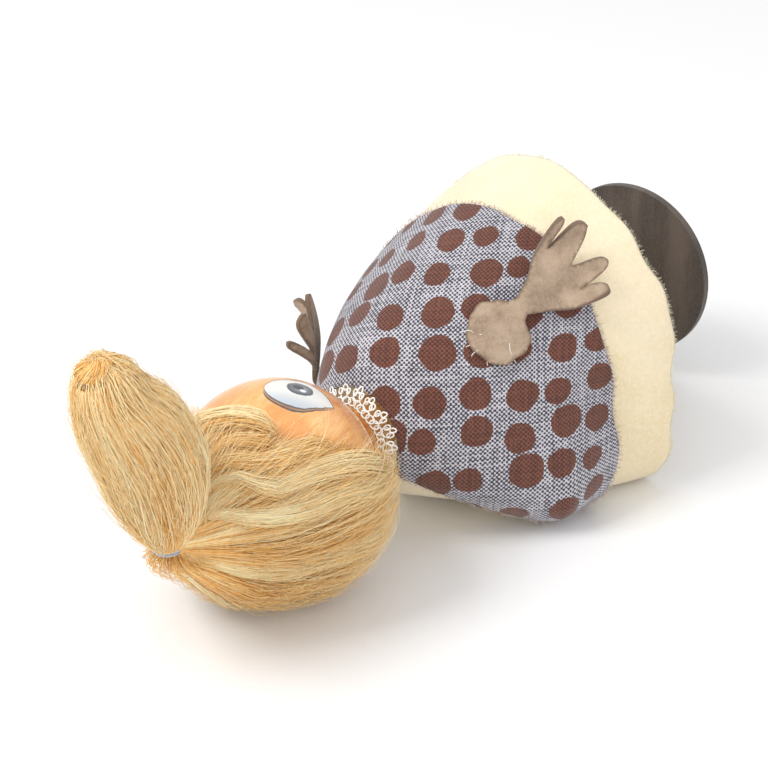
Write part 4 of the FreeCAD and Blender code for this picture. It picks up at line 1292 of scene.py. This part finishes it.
@dataclass
class ClothDome:
    """A cloth dome read from its CAD solid and cut along its own hem."""

    node: str
    top: float
    hem: float
    first: float
    last: float
    rows: int
    columns: int
    hem_wander: float
    ripple: float
    seed: int
    sector: float = 0.75

    @property
    def closed(self) -> bool:
        """Whether the cloth goes all the way round."""
        return self.last - self.first >= 360.0

    def grid(self) -> tuple[Array, Array]:
        """The dome's outer surface in metres, and its flat development in millimetres."""
        rng = np.random.default_rng(self.seed)
        skin = Surface(self.node)
        angles = np.linspace(self.first, self.last, self.columns, endpoint=not self.closed)
        waves = sum(rng.normal() * np.cos(np.radians(angles * step) + rng.uniform(0, 6.28)) / math.sqrt(step)
                    for step in range(2, 22))
        hems = self.hem + self.hem_wander * waves
        share = np.linspace(0, 1, self.rows) ** 0.8
        x = self.top + share[:, None] * (hems - self.top)[None, :]
        stations = np.linspace(self.top, self.hem, 40)
        table = np.array([[skin.radius(station, angle) for angle in angles] for station in stations])
        for column in range(table.shape[1]):
            known = table[:, column] > 1.0
            table[:, column] = np.interp(stations, stations[known], table[known, column])
        radius = np.array([[np.interp(x[row, column], stations, table[:, column])
                            for column in range(self.columns)] for row in range(self.rows)])
        radius = self.smoothed(radius)
        folds = sum(rng.normal() * np.cos(np.radians(angles * step) + rng.uniform(0, 6.28))
                    for step in range(4, 15)) / 4
        radius = radius - 2.4 * (1 - smoothstep(0.0, 0.05, share))[:, None]
        radius = radius + self.ripple * folds[None, :] * np.sin(share * math.pi * 0.9)[:, None]
        turn = np.radians(angles)[None, :]
        local = np.stack([x, -radius * np.cos(turn), radius * np.sin(turn)], axis=-1)
        local[..., 2] = np.maximum(local[..., 2], FLOOR_Z + 0.5)
        steps = np.linalg.norm(np.diff(local, axis=0), axis=-1)
        arc = np.concatenate([np.zeros((1, self.columns)), np.cumsum(steps, axis=0)]) + radius[:1] / self.sector
        flat = np.stack([arc * np.cos(turn * self.sector), arc * np.sin(turn * self.sector)], axis=-1)
        return PUPPET.points(local, rolled=False), flat

    def smoothed(self, radius: Array) -> Array:
        """The radius with the facets of its source softened."""
        kernel = np.hanning(15)
        kernel /= kernel.sum()
        wide = np.pad(radius, ((7, 7), (0, 0)), mode="edge")
        wide = np.pad(wide, ((0, 0), (7, 7)), mode="wrap" if self.closed else "edge")
        wide = np.apply_along_axis(lambda line: np.convolve(line, kernel, "valid"), 1, wide)
        return np.apply_along_axis(lambda line: np.convolve(line, kernel, "valid"), 0, wide)

    def build(self, name: str, thickness: float) -> tuple[bpy.types.Object, Array]:
        """The cloth as a thin closed shell with its flat development as a UV map, and its outer grid."""
        points, flat = self.grid()
        mesh = grid_mesh(name, points, around=self.closed)
        layer = mesh.uv_layers.new(name="cloth")
        corner = np.zeros(len(mesh.loops), np.int32)
        mesh.loops.foreach_get("vertex_index", corner)
        layer.data.foreach_set("uv", flat.reshape(-1, 2)[corner].astype(np.float32).ravel())
        item = add_object(name, mesh)
        middle = points[self.rows // 2, self.columns // 2]
        axis = np.array((middle[0], PUPPET.origin.y, PUPPET.origin.z))
        polygon = mesh.polygons[len(mesh.polygons) // 2]
        if polygon.normal.dot(Vector(np.array(polygon.center) - axis)) < 0:
            mesh.flip_normals()
        shell = item.modifiers.new("thickness", "SOLIDIFY")
        shell.thickness = thickness * MM
        shell.offset = -1.0
        return settled(item), points


@dataclass
class Costume:
    """The felt skirt, the dotted cape over it, their loose fibres and the lace at the neck."""

    finishes: Finishes
    threads: ThreadMaker
    hem_fibres: int = 2600
    frayed_threads: int = 2400
    scallops: int = 17

    def build(self) -> None:
        """Makes every cloth piece."""
        self.random = np.random.default_rng(5)
        self.felt()
        self.cape()
        self.lace()

    def keep(self, item: bpy.types.Object, slot: str, *nodes: str) -> None:
        """Puts a piece on the costume's body."""
        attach(item, "costume")
        if nodes:
            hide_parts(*nodes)

    def felt(self) -> None:
        """The felt skirt, and the wool that stands off it."""
        dome = ClothDome("felt_skirt", 4.6, 81.2, 0.0, 360.0, 90, 300, 0.75, 0.7, 3)
        item, points = dome.build("felt_skirt_cloth", 1.8)
        item.data.materials.append(self.finishes.get(Finish.FELT))
        self.keep(item, "felt", "felt_skirt")
        hem = self.fuzz(points[-1], self.hem_fibres, 1.3)
        fibres = self.threads.make("felt_hem_wool", hem, self.random.uniform(0.3, 1, len(hem)), Finish.WOOL, 0.035,
                                   wave=1.6, wave_scale=400.0, seed=61)
        self.keep(fibres, "felt")

    def fuzz(self, edge: Array, count: int, reach: float) -> Array:
        """Short fibres that start on an edge and point away from the stick."""
        rng = self.random
        pick = rng.integers(0, len(edge) - 1, count)
        along = edge[pick + 1] - edge[pick]
        start = edge[pick] + along * rng.uniform(0, 1, (count, 1))
        axis = start.copy()
        axis[:, 1:] = np.array(PUPPET.origin)[1:]
        away = (unit(start - axis) * rng.normal(0.2, 0.6, (count, 1))
                + np.array((1.0, 0, 0)) * rng.uniform(0.1, 1, (count, 1)))
        away = unit(away + rng.normal(0, 0.35, (count, 3)))
        t = np.linspace(-0.2, 1, 5)[None, :, None]
        length = rng.uniform(0.3, 1.0, (count, 1, 1)) * reach * MM
        return start[:, None, :] + away[:, None, :] * t * length

    def cape(self) -> None:
        """The dotted cape and its frayed hem."""
        dome = ClothDome("dotted_cape", 2.6, 57.6, -39.0, 214.0, 110, 320, 0.45, 0.5, 7)
        item, points = dome.build("dotted_cape_cloth", 0.4)
        item.data.materials.append(self.finishes.get(Finish.COTTON))
        self.keep(item, "dotted_cotton", "dotted_cape")
        self.cape_points = points
        border = np.concatenate([points[:, 0], points[-1], points[::-1, -1]])
        fray = self.fuzz(border, self.frayed_threads, 1.5)
        item = self.threads.make("cape_frayed_edge", fray, self.random.beta(1.2, 0.9, len(fray)), Finish.FRAY, 0.07,
                                 wave=1.2, wave_scale=500.0, seed=71)
        self.keep(item, "dotted_cotton")

    def lace(self) -> None:
        """A narrow crocheted edging round the neck: a netted band with scallops of three small loops."""
        low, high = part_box("lace_collar")
        start = (low.x - PUPPET.origin.x) / MM
        length = (high.x - low.x) / MM
        pitch = 360.0 / self.scallops
        lines = []
        for scallop in range(self.scallops):
            middle = scallop * pitch
            for shift in (-0.25, 0.25):
                lines.append(self.lace_loop(start, length, middle + shift * pitch, 0.34 * pitch, 9.6, 11.4))
            lines.append(self.lace_loop(start, length, middle, 0.30 * pitch, 10.8, 13.2))
            for shift, outer in ((-0.26, 13.6), (0.0, 14.6), (0.26, 13.6)):
                lines.append(self.lace_loop(start, length, middle + shift * pitch, 0.13 * pitch, outer - 1.6, outer))
        places = PUPPET.points(np.array(lines), rolled=False)
        item = self.threads.make("lace_edging", places, self.random.uniform(0.4, 1, len(places)),
                                 Finish.COTTON_THREAD, 0.24, sides=5, wave=1.0, wave_scale=400.0, seed=81)
        self.keep(item, "lace", "lace_collar")

    def lace_loop(self, start: float, length: float, middle: float, half: float, inner: float,
                  outer: float) -> Array:
        """One loop of thread on the frill, in millimetres and floor axes."""
        t = np.linspace(0, 2 * math.pi, 13)
        degrees = middle + half * np.sin(t)
        radius = inner + (outer - inner) * (0.5 - 0.5 * np.cos(t))
        share = (radius - 9.6) / 8.0
        x = start + length * (0.15 + share) + 0.5 * np.sin(np.radians(middle * 5))
        return np.stack([x, -radius * np.cos(np.radians(degrees)), radius * np.sin(np.radians(degrees))], axis=-1)


# ------------------------------------------------------------------ hands


class Side(Enum):
    """Which of the puppet's hands."""

    RIGHT = "right"
    LEFT = "left"


@dataclass(frozen=True)
class HandPlan:
    """Where one hand's cuff and wrist lie, in floor axes from the neck, and how its fingers lie."""

    side: Side
    cuff: tuple[float, float, float]
    cuff_out: tuple[float, float, float]
    along: tuple[float, float, float]
    out: tuple[float, float, float]
    mirror: int


@dataclass
class Hands:
    """Two flat leather hands, each in one piece with the round cuff it is sewn on by."""

    finishes: Finishes
    threads: ThreadMaker
    length: float = 30.0
    width: float = 22.0
    thickness: float = 1.3
    cuff_radius: float = 9.0
    grain: float = 0.9
    edge_darkening: float = 0.85
    edge_round: float = 0.28
    outline: tuple[tuple[float, float], ...] = (
        (0.00, -0.13), (0.22, -0.26), (0.42, -0.42), (0.72, -0.50), (0.78, -0.40), (0.72, -0.31), (0.52, -0.25),
        (0.88, -0.22), (0.95, -0.12), (0.90, -0.01), (0.58, 0.08), (0.72, 0.16), (0.90, 0.30), (0.96, 0.42),
        (0.90, 0.52), (0.80, 0.54), (0.46, 0.42), (0.72, 0.60), (0.76, 0.68), (0.68, 0.70), (0.38, 0.48),
        (0.20, 0.26), (0.00, 0.13))

    def plans(self) -> list[HandPlan]:
        """Both hands."""
        near = PUPPET.round_stick(32.5, 46.7, 38.0) - PUPPET.origin
        far = PUPPET.round_stick(28.0, 203.0, 32.3) - PUPPET.origin
        return [
            HandPlan(Side.RIGHT, tuple(near / MM), (-0.51, -0.59, 0.626), (0.838, -0.375, 0.394),
                     (-0.54, -0.664, 0.515), 1),
            HandPlan(Side.LEFT, tuple(far / MM), (-0.51, 0.79, -0.34), (-0.12, 0.0, 0.99),
                     (-0.54, 0.784, -0.066), -1),
        ]

    def build(self) -> None:
        """Makes both hands and the thread ends on their cuffs."""
        self.skin = Surface("dotted_cape")
        joints = {joint["name"]: joint for joint in frame["joints"]}
        ends = []
        for plan in self.plans():
            wrist = Vector(joints[f"{plan.side.value}_wrist"]["pos_m"])
            ends.append(self.hand(plan, wrist))
        item = self.threads.make("cuff_thread_ends", np.concatenate(ends), np.full(sum(map(len, ends)), 0.8),
                                 Finish.COTTON_THREAD, 0.10, sides=5, wave=4.0, wave_scale=260.0, seed=91)
        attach(item, "costume")
        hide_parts("cuff_stitches")

    def pattern(self, reach: float, mirror: int) -> Array:
        """The flat outline of a hand and its cuff, in millimetres from the wrist."""
        hand = np.array([(a * self.length, b * self.width * mirror) for a, b in self.outline])
        for _ in range(2):
            after = np.roll(hand, -1, axis=0)
            cut = np.stack([hand * 0.78 + after * 0.22, hand * 0.22 + after * 0.78], axis=1)[:-1]
            hand = np.concatenate([hand[:1], cut.reshape(-1, 2), hand[-1:]])
        angles = np.radians(np.linspace(24, 336, 44)) * mirror
        wobble = 1 + 0.03 * np.sin(angles * 5 + 1) + 0.02 * np.sin(angles * 11)
        cuff = np.stack([-reach + self.cuff_radius * wobble * np.cos(angles),
                         self.cuff_radius * wobble * np.sin(angles)], axis=-1)
        return np.concatenate([hand, cuff])

    def filled(self, outline: Array) -> tuple[Array, list[tuple[int, ...]]]:
        """The outline filled with even triangles."""
        low, high = outline.min(0), outline.max(0)
        step = self.grain
        xs, ys = np.meshgrid(np.arange(low[0], high[0], step), np.arange(low[1], high[1], step))
        inside = np.stack([xs.ravel(), ys.ravel()], axis=-1)
        inside = inside[self.within(inside, outline)]
        gap = np.min(np.linalg.norm(inside[:, None] - outline[None], axis=-1), axis=1)
        inside = inside[gap > step * 0.6]
        points = [Vector(p) for p in np.concatenate([outline, inside])]
        count = len(outline)
        result = geometry.delaunay_2d_cdt(points, [], [list(range(count))], 1, 1e-4)
        return np.array([tuple(v) for v in result[0]]), [tuple(face) for face in result[2]]

    def within(self, points: Array, outline: Array) -> Array:
        """Which points lie inside an outline."""
        x, y = points[:, :1], points[:, 1:]
        a, b = outline, np.roll(outline, -1, axis=0)
        crosses = (a[:, 1] > y) != (b[:, 1] > y)
        rise = np.where(b[:, 1] == a[:, 1], 1e-9, b[:, 1] - a[:, 1])
        at = a[:, 0] + (y - a[:, 1]) * (b[:, 0] - a[:, 0]) / rise
        return (np.sum(crosses & (x < at), axis=1) % 2) == 1

    def hand(self, plan: HandPlan, wrist: Vector) -> Array:
        """One leather hand, and the thread ends on its cuff."""
        cuff = Vector(PUPPET.lying(*plan.cuff))
        cuff_out = Vector(plan.cuff_out).normalized()
        toward = wrist - cuff
        toward = (toward - cuff_out * toward.dot(cuff_out)).normalized()
        reach = (wrist - cuff).length / MM
        cuff_side = cuff_out.cross(toward)
        along = Vector(plan.along).normalized()
        across = Vector(plan.out).cross(along).normalized()
        out = along.cross(across)
        outline = self.pattern(reach, plan.mirror)
        flat, faces = self.filled(outline)
        edge_gap = np.min(np.linalg.norm(flat[:, None] - outline[None], axis=-1), axis=1)
        places = []
        for s, w in flat:
            share = float(smoothstep(-5.0, 2.0, s))
            low = cuff + (toward * (s + reach) + cuff_side * w) * MM
            found = self.skin.onto(low, cuff_out)
            spoke = math.atan2(w, s + reach)
            from_middle = min(math.hypot(w, s + reach) / self.cuff_radius, 1.0)
            crease = 0.35 * math.sin(spoke * 9 + 1.5) * from_middle * (1 - from_middle) * 4
            low = (found if found is not None else low) + cuff_out * (0.25 + max(crease, 0)) * MM
            high = wrist + (along * s + across * w + out * self.curl(s, w * plan.mirror)) * MM
            places.append(low.lerp(high, share))
        mesh = bpy.data.meshes.new(f"{plan.side.value}_leather_hand")
        mesh.from_pydata([tuple(place) for place in places], [], faces)
        middle_face = mesh.polygons[len(mesh.polygons) // 2]
        if middle_face.normal.dot(out) < 0:
            mesh.flip_normals()
        mesh.shade_smooth()
        # The outline's vertices take the darker edge colour along the cut edge.
        store(mesh, "rim", (edge_gap < 0.05) * self.edge_darkening)
        item = add_object(mesh.name, mesh)
        shell = item.modifiers.new("thickness", "SOLIDIFY")
        shell.thickness = self.thickness * MM
        shell.offset = 1.0
        bevel = item.modifiers.new("edge", "BEVEL")
        bevel.width = self.edge_round * MM
        bevel.segments = 2
        bevel.limit_method = "ANGLE"
        bevel.angle_limit = math.radians(50)
        settled(item)
        item.data.materials.append(self.finishes.get(Finish.SUEDE))
        name = plan.side.value
        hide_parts(f"{name}_hand", f"{name}_cuff")
        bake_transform(item)
        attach(item, "costume")
        return self.thread_ends(cuff, cuff_out, toward, cuff_side, plan)

    def curl(self, s: float, w: float) -> float:
        """How far the leather stands off its own plane: a cupped palm and lifted finger tips."""
        tip = max(s - 0.35 * self.length, 0.0) / self.length
        share = w / self.width
        first = max(-share - 0.26, 0.0) * 26.0 * min(tip * 3, 1)
        last = max(share - 0.40, 0.0) * 18.0 * min(tip * 3, 1)
        ridge = 0.5 * math.sin(share * 11.0) * min(s / 12.0, 1.0) if s > 0 else 0.0
        return 2.4 * tip ** 2 + first + last + ridge - 1.2 * math.sin(min(max(s / self.length, 0), 1) * math.pi)

    def thread_ends(self, cuff: Vector, out: Vector, toward: Vector, side: Vector, plan: HandPlan) -> Array:
        """Short lengths of thread that lie across the cuff's rim."""
        rng = np.random.default_rng(3 + plan.mirror)
        lines = []
        for angle in (132, 156, 171, 204, 251):
            spin = math.radians(angle * plan.mirror + rng.uniform(-5, 5))
            spoke = toward * math.cos(spin) + side * math.sin(spin)
            line = []
            for share in np.linspace(0, 1, 7):
                radius = 4.6 + share * rng.uniform(5.2, 6.2)
                place = cuff + spoke * radius * MM
                found = self.skin.onto(place, out)
                lift = 1.75 if radius < self.cuff_radius else 1.75 - 1.3 * (radius - self.cuff_radius)
                base = found if found is not None else place
                line.append(base + out * max(lift, 0.35) * MM)
            lines.append([tuple(point) for point in line])
        return np.array(lines)


# ------------------------------------------------------------------ woodwork and spring


@dataclass
class Woodwork:
    """The head, the jaw, the stick and the trigger, whose shapes are the CAD's own."""

    finishes: Finishes

    def build(self) -> None:
        """Dresses the CAD nodes."""
        dress = self.finishes.dress
        dress(Finish.HEAD, "head_front", "head_back", "jaw")
        dress(Finish.BEECH, "stick_tube", "glue_ring", "end_plug")
        dress(Finish.VARNISHED, "neck_ring", "neck_stop", "spring_collar", "trigger_sleeve")
        dress(Finish.STEEL, "jaw_axle", "jaw_link_pin", "cross_pin", "pull_rod", "disc_washer", "disc_screw")
        dress(Finish.BROWN, "base_disc")


@dataclass
class ReturnSpring:
    """The wire spring that pushes the trigger back, its end turns wound closer than the others."""

    threads: ThreadMaker
    radius: float = 6.3
    wire: float = 0.5
    turns: int = 5
    steps: int = 28
    travel: float = 2.5
    crowding: float = 0.055

    def build(self) -> None:
        """Makes the spring over the length of the CAD spring."""
        low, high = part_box("return_spring")
        start, end = low[0] + self.wire * MM, high[0] - self.wire * MM
        t = np.linspace(0.0, 1.0, self.turns * self.steps + 1)
        along = start + (end - start) * (t - self.crowding * np.sin(2 * math.pi * t))
        turn = 2 * math.pi * self.turns * t
        coil = np.stack([
            along,
            PUPPET.origin.y + self.radius * MM * np.cos(turn),
            PUPPET.origin.z + self.radius * MM * np.sin(turn),
        ], axis=-1)
        item = self.threads.make("return_spring_coil", coil[None], np.full(1, 0.5), Finish.STEEL, self.wire, sides=12)
        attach(item, "head_and_stick")
        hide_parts("return_spring")
        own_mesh(item)


# ------------------------------------------------------------------ main


def main() -> None:
    """Builds the studio and the puppet."""
    logging.basicConfig(level=logging.INFO, format="%(message)s")
    finishes = Finishes()
    threads = ThreadMaker(finishes)
    Studio(finishes).build()
    Woodwork(finishes).build()
    ReturnSpring(threads).build()
    Costume(finishes, threads).build()
    Hands(finishes, threads).build()
    Hair(finishes, threads).build()


if __name__ == "__main__":
    main()
